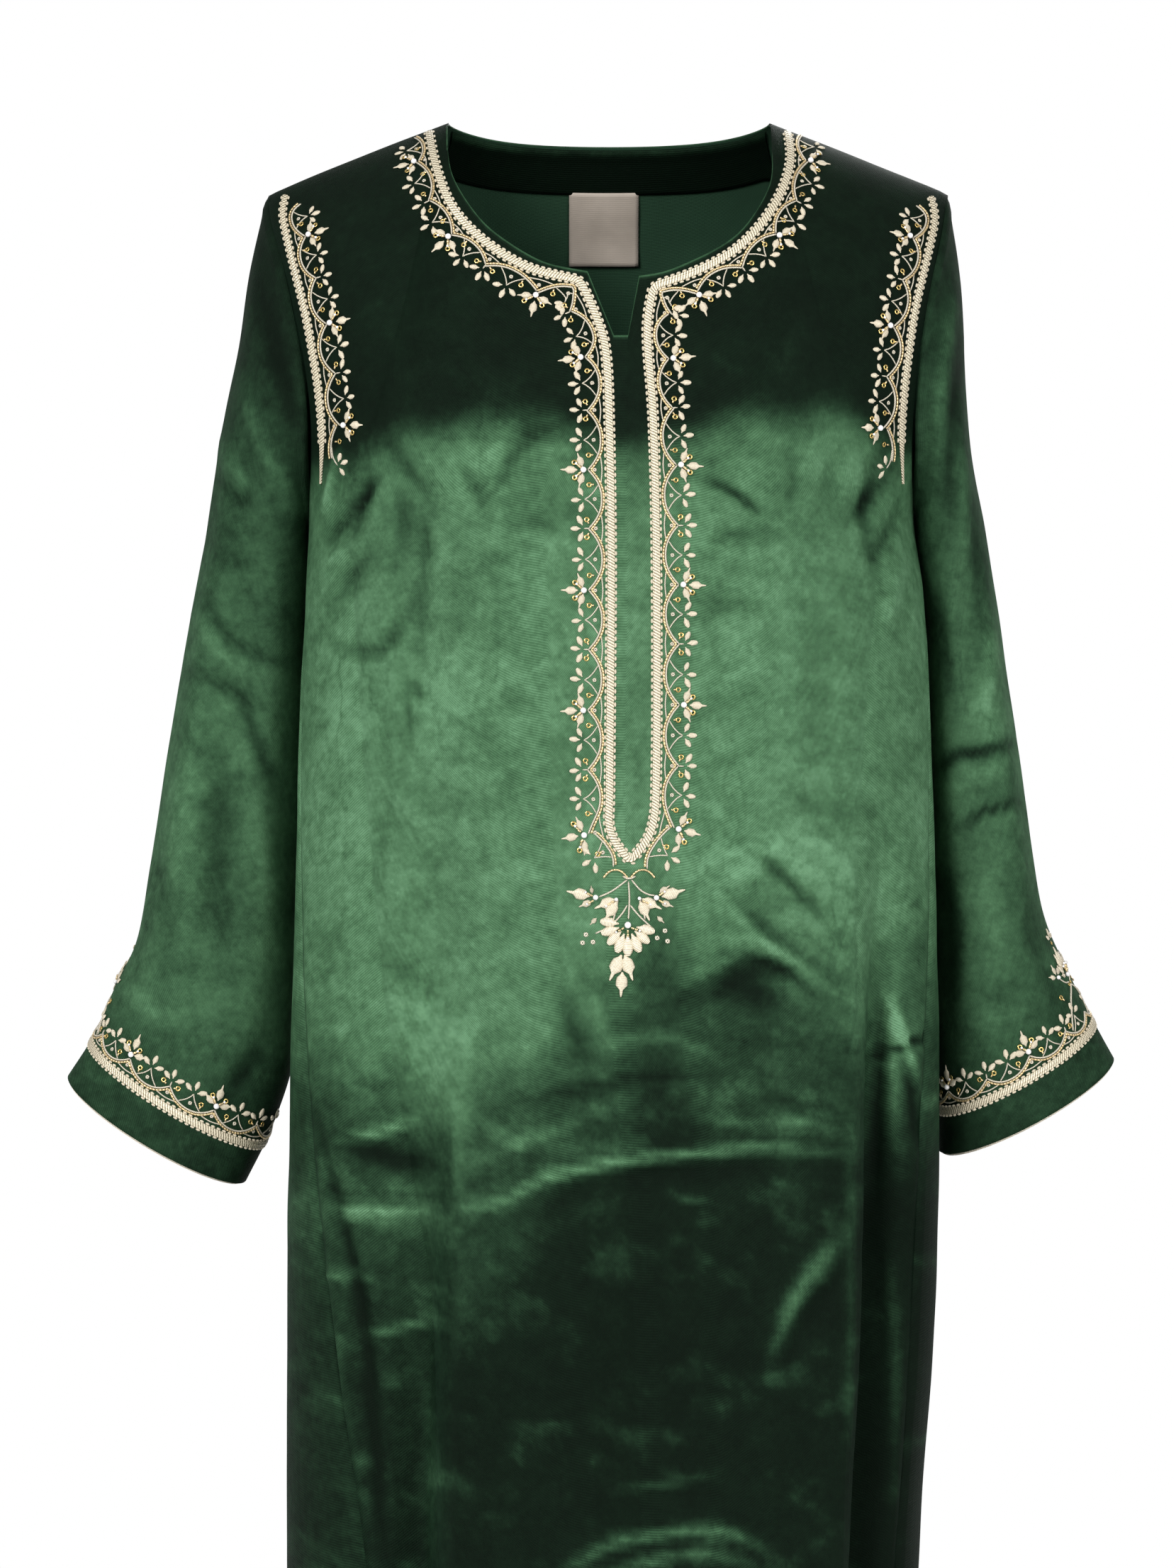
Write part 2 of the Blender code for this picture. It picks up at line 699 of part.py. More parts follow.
def make_wall(name, outer, inner, closed, finish):
    """One closed wall between an outer and an inner grid of points."""
    rows, columns = len(outer), len(outer[0])
    vertices = [p for row in outer for p in row] + [p for row in inner for p in row]
    shift = rows * columns

    def index(place, layer):
        return place[0] * columns + place[1] + layer * shift

    faces = []
    for cell in grid_faces(rows, columns, closed):
        for a, b, c in halves(cell):
            faces.append([index(a, 0), index(b, 0), index(c, 0)])
            faces.append([index(c, 1), index(b, 1), index(a, 1)])
    rims = []
    across = columns if closed else columns - 1
    for j in range(across):
        after = (j + 1) % columns
        rims.append(((0, after), (0, j)))
        rims.append(((rows - 1, j), (rows - 1, after)))
    if not closed:
        for i in range(rows - 1):
            rims.append(((i, 0), (i + 1, 0)))
            rims.append(((i + 1, columns - 1), (i, columns - 1)))
    for a, b in rims:
        faces.append([index(b, 0), index(a, 0), index(a, 1), index(b, 1)])
    return finish_object(name, vertices, faces, finish)


def make_cloth(grids, finish):
    """The front, back and sleeves, each a wall of its own. Gives their inner grids back."""
    normals = shared_normals(grids)
    inner = {}
    for name, (grid, closed, _) in grids.items():
        inward = [[p - n * WALL for p, n in zip(*pair)] for pair in zip(grid, normals[name])]
        inner[name] = pull_back(inward, name)
        make_wall(name, pull_back(grid, name), inner[name], closed, finish)
    return inner


def surface_of(grid, closed):
    """A piece's outer surface, to seat trim on."""
    columns = len(grid[0])
    vertices = [p for row in grid for p in row]
    faces = []
    for cell in grid_faces(len(grid), columns, closed):
        faces += [[i * columns + j for i, j in half] for half in halves(cell)]
    return BVHTree.FromPolygons(vertices, faces)


def on_front(surface, across, height):
    """The point and the outward direction where a front-view place meets the front."""
    start = Vector((across, -1.0, height))
    point, normal, _, _ = surface.ray_cast(start, Vector((0.0, 1.0, 0.0)))
    if normal.y > 0:
        normal = -normal
    return point, normal


def lift_clear(surface, feet, normals, closed):
    """Raises the stations of a braid's underside until it clears the cloth between them too."""
    count = len(feet)
    for _ in range(CLEAR_ROUNDS):
        extra = [0.0] * count
        for k in range(count if closed else count - 1):
            after = (k + 1) % count
            for left, right in ((0, 0), (0, 1), (1, 1), (1, 2), (2, 2)):
                start = (feet[k][left] + feet[k][right]) / 2
                end = (feet[after][left] + feet[after][right]) / 2
                for step in range(CLEAR_SAMPLES):
                    place = start.lerp(end, step / CLEAR_SAMPLES)
                    near = surface.find_nearest(place)[0]
                    short = LEAST_CLEAR - (place - near).dot(normals[k])
                    extra[k] = max(extra[k], short)
                    extra[after] = max(extra[after], short)
        for k in range(count):
            feet[k] = [foot + normals[k] * extra[k] for foot in feet[k]]
    return feet


def make_braid(name, surface, line, normals, closed, finish):
    """A flat braid along a line of seated points, its edges and middle each seated on the cloth."""
    count = len(line)
    sideways, lows = [], []
    for k in range(count):
        before = line[k - 1] if closed or k > 0 else line[k]
        after = line[(k + 1) % count] if closed or k < count - 1 else line[k]
        along = (after - before).normalized()
        across = along.cross(normals[k]).normalized() * (BRAID_WIDTH / 2)
        feet = [surface.find_nearest(line[k] + across * share)[0] for share in (-1, 0, 1)]
        sideways.append(across)
        lows.append([foot + normals[k] * BRAID_CLEAR for foot in feet])
    rings = []
    for low, across, normal in zip(lift_clear(surface, lows, normals, closed), sideways, normals):
        tops = (BRAID_TOP_SHARE, -BRAID_TOP_SHARE)
        high = [low[1] + across * share + normal * BRAID_THICK for share in tops]
        rings.append(low + high)
    size = len(rings[0])
    vertices = [p for ring in rings for p in ring]
    faces = []
    for k in range(count if closed else count - 1):
        here, there = size * k, size * ((k + 1) % count)
        for side in range(size):
            after = (side + 1) % size
            faces.append([here + side, there + side, there + after, here + after])
    if not closed:
        faces.append(list(range(size)))
        last = size * (count - 1)
        faces.append([last + side for side in reversed(range(size))])
    return finish_object(name, vertices, faces, finish)


def seated_line(surface, table):
    """Points of a front-view line laid on the front, evenly apart along the cloth."""
    places = smooth_line(flat_points(table), LINE_SAMPLES * len(table))
    line = [on_front(surface, place.x, place.y)[0] for place in places]
    length = sum((b - a).length for a, b in zip(line, line[1:]))
    return even_points(line, round(length / BRAID_STEP))


def soft_normals(surface, points):
    """Outward directions along a line on the front, each averaged with its neighbours."""
    single = []
    for point in points:
        normal = surface.find_nearest(point)[1]
        single.append(normal if normal.y < 0 or normal.z > 0 else -normal)
    return [sum(single[max(k - 1, 0):k + 2], Vector()).normalized() for k in range(len(points))]


def make_front_braid(name, tables, surface, finish):
    points = [point for table in tables for point in seated_line(surface, table)]
    make_braid(name, surface, points, soft_normals(surface, points), False, finish)


def make_cuff_braid(name, grid, finish):
    """A ring of braid a set distance above the cuff's edge, with a station on each line of the sleeve."""
    hem, above = grid[-1], grid[-2]
    middle = sum(above, Vector()) / len(above)
    points, normals = [], []
    for k, (low, high) in enumerate(zip(hem, above)):
        up = (high - low).normalized()
        around = hem[(k + 1) % len(hem)] - hem[k - 1]
        normal = up.cross(around).normalized()
        points.append(low + up * CUFF_BRAID_UP)
        normals.append(normal if normal.dot(high - middle) > 0 else -normal)
    make_braid(name, surface_of(grid, True), points, normals, True, finish)


def make_motif(row, surface, finish):
    """A raised flower or leaf group: lobes round one point, domed over their middles."""
    lobes, spread = row["lobes"], row["spread"]
    count = lobes * MOTIF_POINTS_PER_LOBE
    outline = []
    for k in range(count + 1):
        share = k / count
        turn = math.radians(row["points"] - spread - spread / lobes + 2 * spread * (1 + 1 / lobes) * share)
        within = abs((share * lobes) % 1.0 - 0.5) * 2 if k < count else 1.0
        reach = row["length"] * (1 - row["dip"] * within**LOBE_SHARPNESS)
        outline.append((math.cos(turn) * reach, math.sin(turn) * reach))
    behind = math.radians(row["points"] + 180)
    outline.append((math.cos(behind) * MOTIF_HEART, math.sin(behind) * MOTIF_HEART))
    rings = []
    for share, rise in ((1.0, 0.0), MOTIF_SHOULDER, (MOTIF_CROWN, 1.0)):
        for x, z in outline:
            point, normal = on_front(surface, row["across"] + x * share, row["height"] + z * share)
            rings.append(point + normal * (MOTIF_CLEAR + MOTIF_THICK * rise))
    point, normal = on_front(surface, row["across"], row["height"])
    top = point + normal * (MOTIF_CLEAR + MOTIF_THICK * MOTIF_MIDDLE)
    base = point + normal * MOTIF_CLEAR
    size = len(outline)
    vertices = rings + [top, base]
    faces = []
    for k in range(size):
        after = (k + 1) % size
        faces.append([k, after, size + after, size + k])
        faces.append([size + k, size + after, 2 * size + after, 2 * size + k])
        faces.append([2 * size + k, 2 * size + after, 3 * size])
        faces.append([after, k, 3 * size + 1])
    finish_object(row["name"], vertices, faces, finish)


def make_inside_piece(name, surface, places, thick, hang, finish):
    """A piece laid inside the back: rows of front-view places, seated on the back's inner surface."""
    near, far = [], []
    for i, row in enumerate(places):
        lift = INSIDE_CLEAR + hang * i / (len(places) - 1)
        near.append([])
        far.append([])
        for x, height in row:
            goal = Vector((x, torso_y(x, height, "back") - WALL, height))
            point, normal, _, _ = surface.find_nearest(goal)
            inward = normal if normal.y < 0 or normal.z < 0 else -normal
            near[-1].append(point + inward * lift)
            far[-1].append(point + inward * (lift + thick))
    make_wall(name, near, far, False, finish)


def make_neck_facing(surface, finish):
    """The velvet band inside the back neck."""
    places = []
    for i in range(FACING_ROWS + 1):
        places.append([])
        for k in range(2 * BACK_NECK_COLUMNS + 1):
            x = -FACING_HALF * math.cos(math.pi * k / (2 * BACK_NECK_COLUMNS))
            height = back_neck_curve(x) - FACING_DOWN - FACING_DEPTH * i / FACING_ROWS
            places[-1].append((x, height))
    make_inside_piece("neck_facing", surface, places, FACING_THICK, 0.0, finish)


def make_label(surface, finish):
    """The plain label that hangs inside the back from the facing's lower edge."""
    top = BACK_NECK_HEIGHT - FACING_DOWN - FACING_DEPTH - SEAM_GAP
    places = []
    for i in range(LABEL_ROWS + 1):
        xs = [LABEL_MIDDLE + LABEL_SIDE * (k / LABEL_ROWS - 0.5) for k in range(LABEL_ROWS + 1)]
        places.append([(x, top - LABEL_SIDE * i / LABEL_ROWS) for x in xs])
    make_inside_piece("label", surface, places, LABEL_THICK, LABEL_HANG, finish)


def main():
    clear_scene()
    finishes = {name: make_material(name) for name in FINISHES}
    front_columns = 2 * (SHOULDER_COLUMNS + NECK_COLUMNS + NOTCH_COLUMNS) + 1
    back_columns = 2 * SHOULDER_COLUMNS + BACK_NECK_COLUMNS
    front = body_panel("front", front_top_edge(), front_columns)
    back = body_panel("back", back_top_edge(), back_columns)
    sleeve_right = sleeve_grid(SLEEVE_RIGHT, -1, front, back)
    sleeve_left = sleeve_grid(SLEEVE_LEFT, 1, front, back)
    grids = {
        "front": (front, False, 1),
        "back": (back, False, -1),
        "sleeve_right": (sleeve_right, True, 1),
        "sleeve_left": (sleeve_left, True, -1),
    }
    inner = make_cloth(grids, finishes["velvet"])
    front_surface = surface_of(front, False)
    neck_lines = (BRAID_NECK_RIGHT, BRAID_PLACKET_RIGHT, BRAID_PLACKET_LEFT, BRAID_NECK_LEFT)
    make_front_braid("neck_braid", neck_lines, front_surface, finishes["braid"])
    make_front_braid("armhole_braid_right", (BRAID_ARM_RIGHT,), front_surface, finishes["braid"])
    make_front_braid("armhole_braid_left", (BRAID_ARM_LEFT,), front_surface, finishes["braid"])
    make_cuff_braid("cuff_braid_right", sleeve_right, finishes["braid"])
    make_cuff_braid("cuff_braid_left", sleeve_left, finishes["braid"])
    for row in rows_of(MOTIFS):
        make_motif(row, front_surface, finishes["goldwork"])
    inside = surface_of(inner["back"], False)
    make_neck_facing(inside, finishes["velvet"])
    make_label(inside, finishes["label"])


main()
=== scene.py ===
# %% [markdown]
# # A velvet kaftan with goldwork
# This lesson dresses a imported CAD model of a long-sleeved kaftan. The cloth keeps the form of the CAD
# walls, and the creases, the lie of the pile and the embroidery are added here.

# %% Load the frame
import math

import bmesh
import bpy
import numpy as np
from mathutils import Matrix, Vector
from mathutils.bvhtree import BVHTree


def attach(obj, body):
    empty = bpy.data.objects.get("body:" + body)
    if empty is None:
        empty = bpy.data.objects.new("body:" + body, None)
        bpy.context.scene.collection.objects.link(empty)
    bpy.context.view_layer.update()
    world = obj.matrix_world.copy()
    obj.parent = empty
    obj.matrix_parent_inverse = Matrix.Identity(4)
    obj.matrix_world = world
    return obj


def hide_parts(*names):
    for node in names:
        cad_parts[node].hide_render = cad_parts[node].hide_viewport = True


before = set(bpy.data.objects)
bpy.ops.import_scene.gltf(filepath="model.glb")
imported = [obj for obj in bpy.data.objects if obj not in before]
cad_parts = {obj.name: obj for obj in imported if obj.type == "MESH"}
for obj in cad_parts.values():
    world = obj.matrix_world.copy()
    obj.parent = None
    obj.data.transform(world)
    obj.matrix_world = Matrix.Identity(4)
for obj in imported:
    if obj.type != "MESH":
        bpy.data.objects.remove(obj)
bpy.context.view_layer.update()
bpy.ops.object.select_all(action="DESELECT")

# %% [markdown]
# ## The camera and the light
# The garment was seen straight from the front, from about three metres away, and cropped above its hem.
# A long lens does that. Two large soft lamps and a pale surround give a shop's even light, and the floor
# lies just under the hem, small enough to stay below the picture. The surround is dimmer for the cloth than
# for the eye, so that the picture's ground is white and the velvet keeps its depth.

# %% Camera
VIEW_FROM = (-0.0137, -3.0, -0.433)
bpy.ops.object.camera_add(location=VIEW_FROM, rotation=(math.pi / 2, 0, 0))
camera = bpy.context.object
camera.data.sensor_fit = "VERTICAL"
camera.data.sensor_height = 24.0
camera.data.lens = 70.0
bpy.context.scene.camera = camera
bpy.context.scene.view_settings.view_transform = "Standard"


print("camera lens", camera.data.lens, "mm")

# %% Lamps
LAMPS = (
    # name, place, size in metres, watts
    ("key_lamp", (-1.5, -2.6, 0.9), 1.2, 85),
    ("fill_lamp", (1.9, -2.3, 0.2), 1.4, 45),
    ("back_lamp", (0.6, 2.6, 1.2), 1.6, 40),
)
LAMPS_AIM = (0.0, 0.0, -0.5)
for name, place, size, watts in LAMPS:
    bpy.ops.object.light_add(type="AREA", location=place)
    lamp = bpy.context.object
    lamp.name = name
    lamp.rotation_euler = (Vector(LAMPS_AIM) - Vector(place)).to_track_quat("-Z", "Y").to_euler()
    lamp.data.size = size
    lamp.data.energy = watts
print("lamps", len(LAMPS))

# %% Floor and surround
FLOOR_SIZE, FLOOR_HEIGHT = 5.6, -1.43
DIM_FOR_CLOTH, BRIGHT_FOR_EYE = 0.45, 1.0
bpy.ops.mesh.primitive_plane_add(size=FLOOR_SIZE, location=(0.0, 0.0, FLOOR_HEIGHT))
floor = bpy.context.object
floor.name = "studio_floor"
floor_paper = bpy.data.materials.new("floor_paper")
floor_paper.use_nodes = True
paper = floor_paper.node_tree.nodes["Principled BSDF"]
paper.inputs["Base Color"].default_value = (0.86, 0.86, 0.85, 1)
paper.inputs["Roughness"].default_value = 0.7
floor.data.materials.append(floor_paper)

world = bpy.data.worlds.new("pale_surround")
world.use_nodes = True
bpy.context.scene.world = world
sky = world.node_tree.nodes["Background"]
sky.inputs["Color"].default_value = (1.0, 1.0, 1.0, 1.0)
seen = world.node_tree.nodes.new("ShaderNodeLightPath")
dimmer = world.node_tree.nodes.new("ShaderNodeMapRange")
dimmer.inputs["To Min"].default_value = DIM_FOR_CLOTH
dimmer.inputs["To Max"].default_value = BRIGHT_FOR_EYE
world.node_tree.links.new(seen.outputs["Is Camera Ray"], dimmer.inputs["Value"])
world.node_tree.links.new(dimmer.outputs["Result"], sky.inputs["Strength"])
print("floor", FLOOR_SIZE, "m")

# %% [markdown]
# ## Reading sizes as smooth curves
# A pattern maker measures a garment at a few heights and lets the cloth run smoothly between them. Each
# table below holds such measurements, and these helpers read it anywhere. The same tables shape the CAD
# walls, so that the cloth lies on them.

# %% Reading a table
CURVE_STEPS = 24


def hermite(share, start, end, start_slope, end_slope):
    """Places on the smooth curve between two points that have given slopes."""
    square, cube = share**2, share**3
    return (
        (2 * cube - 3 * square + 1) * start + (cube - 2 * square + share) * start_slope
        + (3 * square - 2 * cube) * end + (cube - square) * end_slope
    )


def curves(names, rows):
    """A table of measurements as one fine, smooth curve for each named column."""
    data = np.array(rows, float)
    key = data[:, 0]
    slope = np.gradient(data, axis=0)
    slope[1:-1] = (data[2:] - data[:-2]) / (key[2:] - key[:-2])[:, None]
    slope[0] = (data[1] - data[0]) / (key[1] - key[0])
    slope[-1] = (data[-1] - data[-2]) / (key[-1] - key[-2])
    share = np.linspace(0, 1, CURVE_STEPS, endpoint=False)[:, None]
    parts = []
    for i in range(len(data) - 1):
        span = key[i + 1] - key[i]
        parts.append(hermite(share, data[i], data[i + 1], slope[i] * span, slope[i + 1] * span))
    fine = np.vstack(parts + [data[-1:]])
    if fine[0, 0] > fine[-1, 0]:
        fine = fine[::-1]
    return {name: fine[:, i] for i, name in enumerate(names)} | {"key": fine[:, 0]}


def read(table, name, where):
    return np.interp(where, table["key"], table[name])


def ease(share):
    share = np.clip(share, 0.0, 1.0)
    return share * share * (3 - 2 * share)


print("a table is read at", CURVE_STEPS, "steps between two rows")

# %% Lines with evenly spaced points
LINE_STEPS = 12


def run_along(line):
    """How far along a line each of its points lies."""
    return np.concatenate([[0], np.cumsum(np.linalg.norm(np.diff(line, axis=0), axis=1))])


def even_points(line, count):
    """count + 1 points at even distances along a line."""
    line = np.asarray(line, float)
    run = run_along(line)
    goal = np.linspace(0, run[-1], count + 1)
    return np.stack([np.interp(goal, run, line[:, i]) for i in range(line.shape[1])], axis=1)


def smooth_line(points, count):
    """count + 1 points evenly along the smooth curve through the given points."""
    points = np.asarray(points, float)
    padded = np.vstack([points[:1], points, points[-1:]])
    share = np.linspace(0, 1, LINE_STEPS, endpoint=False)[:, None]
    fine = []
    for i in range(len(points) - 1):
        before, start, end, after = padded[i:i + 4]
        fine.append(hermite(share, start, end, (end - before) / 2, (after - start) / 2))
    return even_points(np.vstack(fine + [points[-1:]]), count)


print("a line is read at", LINE_STEPS, "steps between two points")

# %% [markdown]
# ## The body's form
# The body is one tube: a flattened round from side to side, with soft hanging folds pressed into it from
# the waist down. Above the underarm it closes over the shoulders as a roll. A real maker gets this form
# from two flat panels on a figure. Here it is written as the heights, widths and depths of that tube.

# %% Sizes of the body
# The cloth has this many points for each one of the CAD walls, so that creases can be laid between them
FINE = 4
NECK_HALF = 0.105
SHOULDER_TIP = {"right": -0.2235, "left": 0.2225}
SHOULDER_DROP, SHOULDER_CROWN, SHOULDER_ROLL = 0.047, 0.04, 0.100
UNDERARM, HEM, SQUARENESS = -0.252, -1.400, 2.3
YOKE_ROWS, SKIRT_ROWS = 12 * FINE, 60 * FINE
SHOULDER_COLUMNS, NECK_COLUMNS = 5 * FINE, 8 * FINE
NOTCH_COLUMNS, BACK_NECK_COLUMNS = 2 * FINE, 13 * FINE
CLOTH_THICK = 0.0011
print("shoulder to hem", -HEM, "m")

# %% Heights, widths and depths of the body
BODY = curves(
    ("height", "right_edge", "left_edge", "side", "front", "back"),
    (
        (0.030, -0.240, 0.240, 0.000, -0.074, 0.060),
        (-0.050, -0.238, 0.238, 0.000, -0.096, 0.094),
        (-0.100, -0.234, 0.235, 0.000, -0.109, 0.112),
        (-0.150, -0.224, 0.226, 0.000, -0.121, 0.120),
        (-0.200, -0.208, 0.211, 0.000, -0.132, 0.122),
        (-0.252, -0.1965, 0.1995, 0.000, -0.140, 0.121),
        (-0.310, -0.1975, 0.2050, -0.014, -0.145, 0.119),
        (-0.380, -0.2005, 0.2085, -0.026, -0.147, 0.118),
        (-0.520, -0.2040, 0.2125, -0.030, -0.149, 0.120),
        (-0.620, -0.2070, 0.2140, -0.030, -0.151, 0.125),
        (-0.760, -0.2090, 0.2120, -0.024, -0.154, 0.130),
        (-0.950, -0.2095, 0.2010, -0.015, -0.157, 0.135),
        (-1.150, -0.2110, 0.2000, -0.008, -0.161, 0.140),
        (-1.400, -0.2160, 0.2060, 0.000, -0.167, 0.147),
    ),
)
ARMHOLE = curves(
    ("height", "right", "left"),
    (
        (-0.0465, -0.2235, 0.2225),
        (-0.065, -0.2205, 0.2190),
        (-0.085, -0.2150, 0.2145),
        (-0.105, -0.2095, 0.2095),
        (-0.130, -0.2035, 0.2040),
        (-0.155, -0.1985, 0.2000),
        (-0.180, -0.1950, 0.1975),
        (-0.205, -0.1935, 0.1962),
        (-0.230, -0.1945, 0.1972),
        (-0.252, -0.1965, 0.1995),
    ),
)
SIDE_SEAMS = curves(
    ("height", "right", "left"),
    (
        (-0.252, 0.0, 180.0),
        (-0.400, 7.0, 171.0),
        (-0.520, 15.0, 164.0),
        (-0.600, 21.0, 159.0),
        (-0.700, 29.0, 156.0),
        (-0.800, 37.0, 155.0),
        (-0.950, 46.0, 155.0),
        (-1.150, 50.0, 156.0),
        (-1.400, 52.0, 157.0),
    ),
)
print("heights in the body's table", BODY["key"][[0, -1]])

# %% Folds, neck and notch
HANGING_FOLDS = (
    # angle where a fold starts and at the hem, heights where it starts and is full, how far it stands out,
    # and its width in degrees to the right and to the left
    (68.0, 67.0, -0.42, -0.90, 0.010, 4.5, 15.0),
    (58.0, 56.0, -0.42, -0.90, -0.024, 9.0, 5.0),
    (131.0, 132.0, -0.40, -0.75, 0.009, 16.0, 4.5),
    (142.0, 144.0, -0.40, -0.75, -0.030, 5.0, 7.0),
    (100.0, 98.0, -0.70, -1.30, 0.007, 15.0, 15.0),
    (212.0, 208.0, -0.36, -1.00, -0.026, 9.0, 10.0),
    (236.0, 233.0, -0.32, -1.00, 0.012, 10.0, 9.0),
    (256.0, 254.0, -0.40, -1.10, -0.020, 9.0, 8.0),
    (287.0, 289.0, -0.40, -1.05, -0.018, 8.0, 10.0),
    (309.0, 312.0, -0.32, -1.00, 0.012, 9.0, 9.0),
    (333.0, 336.0, -0.38, -0.95, -0.024, 9.0, 9.0),
)
NECK_RIGHT = (
    (-0.1050, 0.0000), (-0.1030, -0.0320), (-0.0970, -0.0510), (-0.0820, -0.0740),
    (-0.0650, -0.0890), (-0.0410, -0.1030), (-0.0140, -0.1090),
)
NOTCH = ((-0.0140, -0.1090), (0.0026, -0.1505), (0.0115, -0.1505), (0.0185, -0.1120))
NECK_LEFT = (
    (0.0185, -0.1120), (0.0380, -0.1080), (0.0690, -0.0930), (0.0870, -0.0775),
    (0.1020, -0.0510), (0.1050, -0.0280), (0.1050, 0.0000),
)
BACK_NECK_HEIGHT = -0.007
print("hanging folds", len(HANGING_FOLDS))


# %% The body's surface
def shoulder_height(x):
    """Height of the shoulder seam at a place across."""
    run = np.hypot(x, SHOULDER_CROWN)
    neck, tip = (math.hypot(across, SHOULDER_CROWN) for across in (NECK_HALF, SHOULDER_TIP["right"]))
    return SHOULDER_DROP / (tip - neck) * (neck - run)


def torso_y(x, height, side):
    """Where the front or back lies at a place in the front view, above the underarm."""
    right, left = read(BODY, "right_edge", height), read(BODY, "left_edge", height)
    across = np.minimum(np.abs((x - (right + left) / 2) / ((left - right) / 2)), 1.0)
    fullness = (1 - across**SQUARENESS) ** (1 / SQUARENESS)
    drop = np.clip((shoulder_height(x) - height) / SHOULDER_ROLL, 0.0, 1.0)
    middle = read(BODY, "side", height)
    return middle + (read(BODY, side, height) - middle) * fullness * np.sqrt(1 - (1 - drop) ** 2)


def body_points(angle, height):
    """Points round the body below the underarm. 0 is the right side and 90 the middle of the front."""
    angle, height = np.broadcast_arrays(np.asarray(angle, float) % 360, np.asarray(height, float))
    cosine, sine = np.cos(np.radians(angle)), np.sin(np.radians(angle))
    right, left, side = (read(BODY, name, height) for name in ("right_edge", "left_edge", "side"))
    half = (left - right) / 2
    deep = np.abs(np.where(sine > 0, read(BODY, "front", height), read(BODY, "back", height)) - side)
    across = -np.sign(cosine) * np.abs(cosine) ** (2 / SQUARENESS)
    along = -np.sign(sine) * np.abs(sine) ** (2 / SQUARENESS)
    outward = np.stack(
        [
            np.sign(across) * np.abs(across) ** (SQUARENESS - 1) / half,
            np.sign(along) * np.abs(along) ** (SQUARENESS - 1) / deep,
        ],
        axis=-1,
    )
    outward /= np.linalg.norm(outward, axis=-1, keepdims=True)
    out = np.zeros_like(angle)
    for start_angle, hem_angle, start, full, stands, right_width, left_width in HANGING_FOLDS:
        rise = ease((height - start) / (full - start))
        middle = start_angle + (hem_angle - start_angle) * np.clip((height - start) / (HEM - start), 0, 1)
        away = (angle - middle + 180) % 360 - 180
        out += stands * rise * np.exp(-((away / np.where(away > 0, left_width, right_width)) ** 2))
    x = (right + left) / 2 + half * across + outward[..., 0] * out
    y = side + deep * along + outward[..., 1] * out
    return np.stack([x, y, height], axis=-1)


front_middle = body_points(90.0, UNDERARM)
print("front at the underarm", front_middle.round(3))

# %% Edges of the panels
SECTION_STEPS = 181


def section_angles(height, start, end, count):
    """Angles that part a stretch of the body's section into even lengths of cloth."""
    angles = np.linspace(start, end, SECTION_STEPS)
    points = body_points(angles, np.full(SECTION_STEPS, height))
    run = run_along(points)
    return np.interp(np.linspace(0, run[-1], count + 1), run, angles)


def shoulder_seam(hand):
    inner = -NECK_HALF if hand == "right" else NECK_HALF
    xs = np.linspace(SHOULDER_TIP[hand], inner, SHOULDER_COLUMNS + 1)
    return np.stack([xs, shoulder_height(xs)], axis=1)


def front_top_edge():
    edge = [shoulder_seam("right"), smooth_line(NECK_RIGHT, NECK_COLUMNS)[1:]]
    for start, end, count in zip(NOTCH, NOTCH[1:], (NOTCH_COLUMNS, FINE, NOTCH_COLUMNS)):
        edge.append(np.linspace(start, end, count + 1)[1:])
    return np.vstack(edge + [smooth_line(NECK_LEFT, NECK_COLUMNS)[1:], shoulder_seam("left")[::-1][1:]])


def back_neck_curve(x):
    return BACK_NECK_HEIGHT * (1 - np.minimum(np.abs(x) / NECK_HALF, 1.0) ** 4)


def back_top_edge():
    xs = -NECK_HALF * np.cos(np.pi * np.arange(1, BACK_NECK_COLUMNS) / BACK_NECK_COLUMNS)
    middle = np.stack([xs, back_neck_curve(xs)], axis=1)
    return np.vstack([shoulder_seam("right"), middle, shoulder_seam("left")[::-1]])


print("points along the front's top edge", len(front_top_edge()))

# %% [markdown]
# ## From edges to panels
# A panel between four edges can be filled like a drum: each point takes its place from the two edges it
# lies between, less what the four corners would count twice. The yoke is filled that way. Below the
# underarm each row simply follows the body's section from one side seam to the other.


# %% The two panels
def fill_between(top, low, right, left, down):
    """Places in the front view that fill the space between four edges."""
    over = np.linspace(0, 1, len(top))[None, :, None]
    fall = down[:, None, None]
    place = top[None] * (1 - fall) + low[None] * fall
    place = place + right[:, None] * (1 - over) + left[:, None] * over
    place = place - (top[0] * (1 - over) + top[-1] * over) * (1 - fall)
    return place - (low[0] * (1 - over) + low[-1] * over) * fall


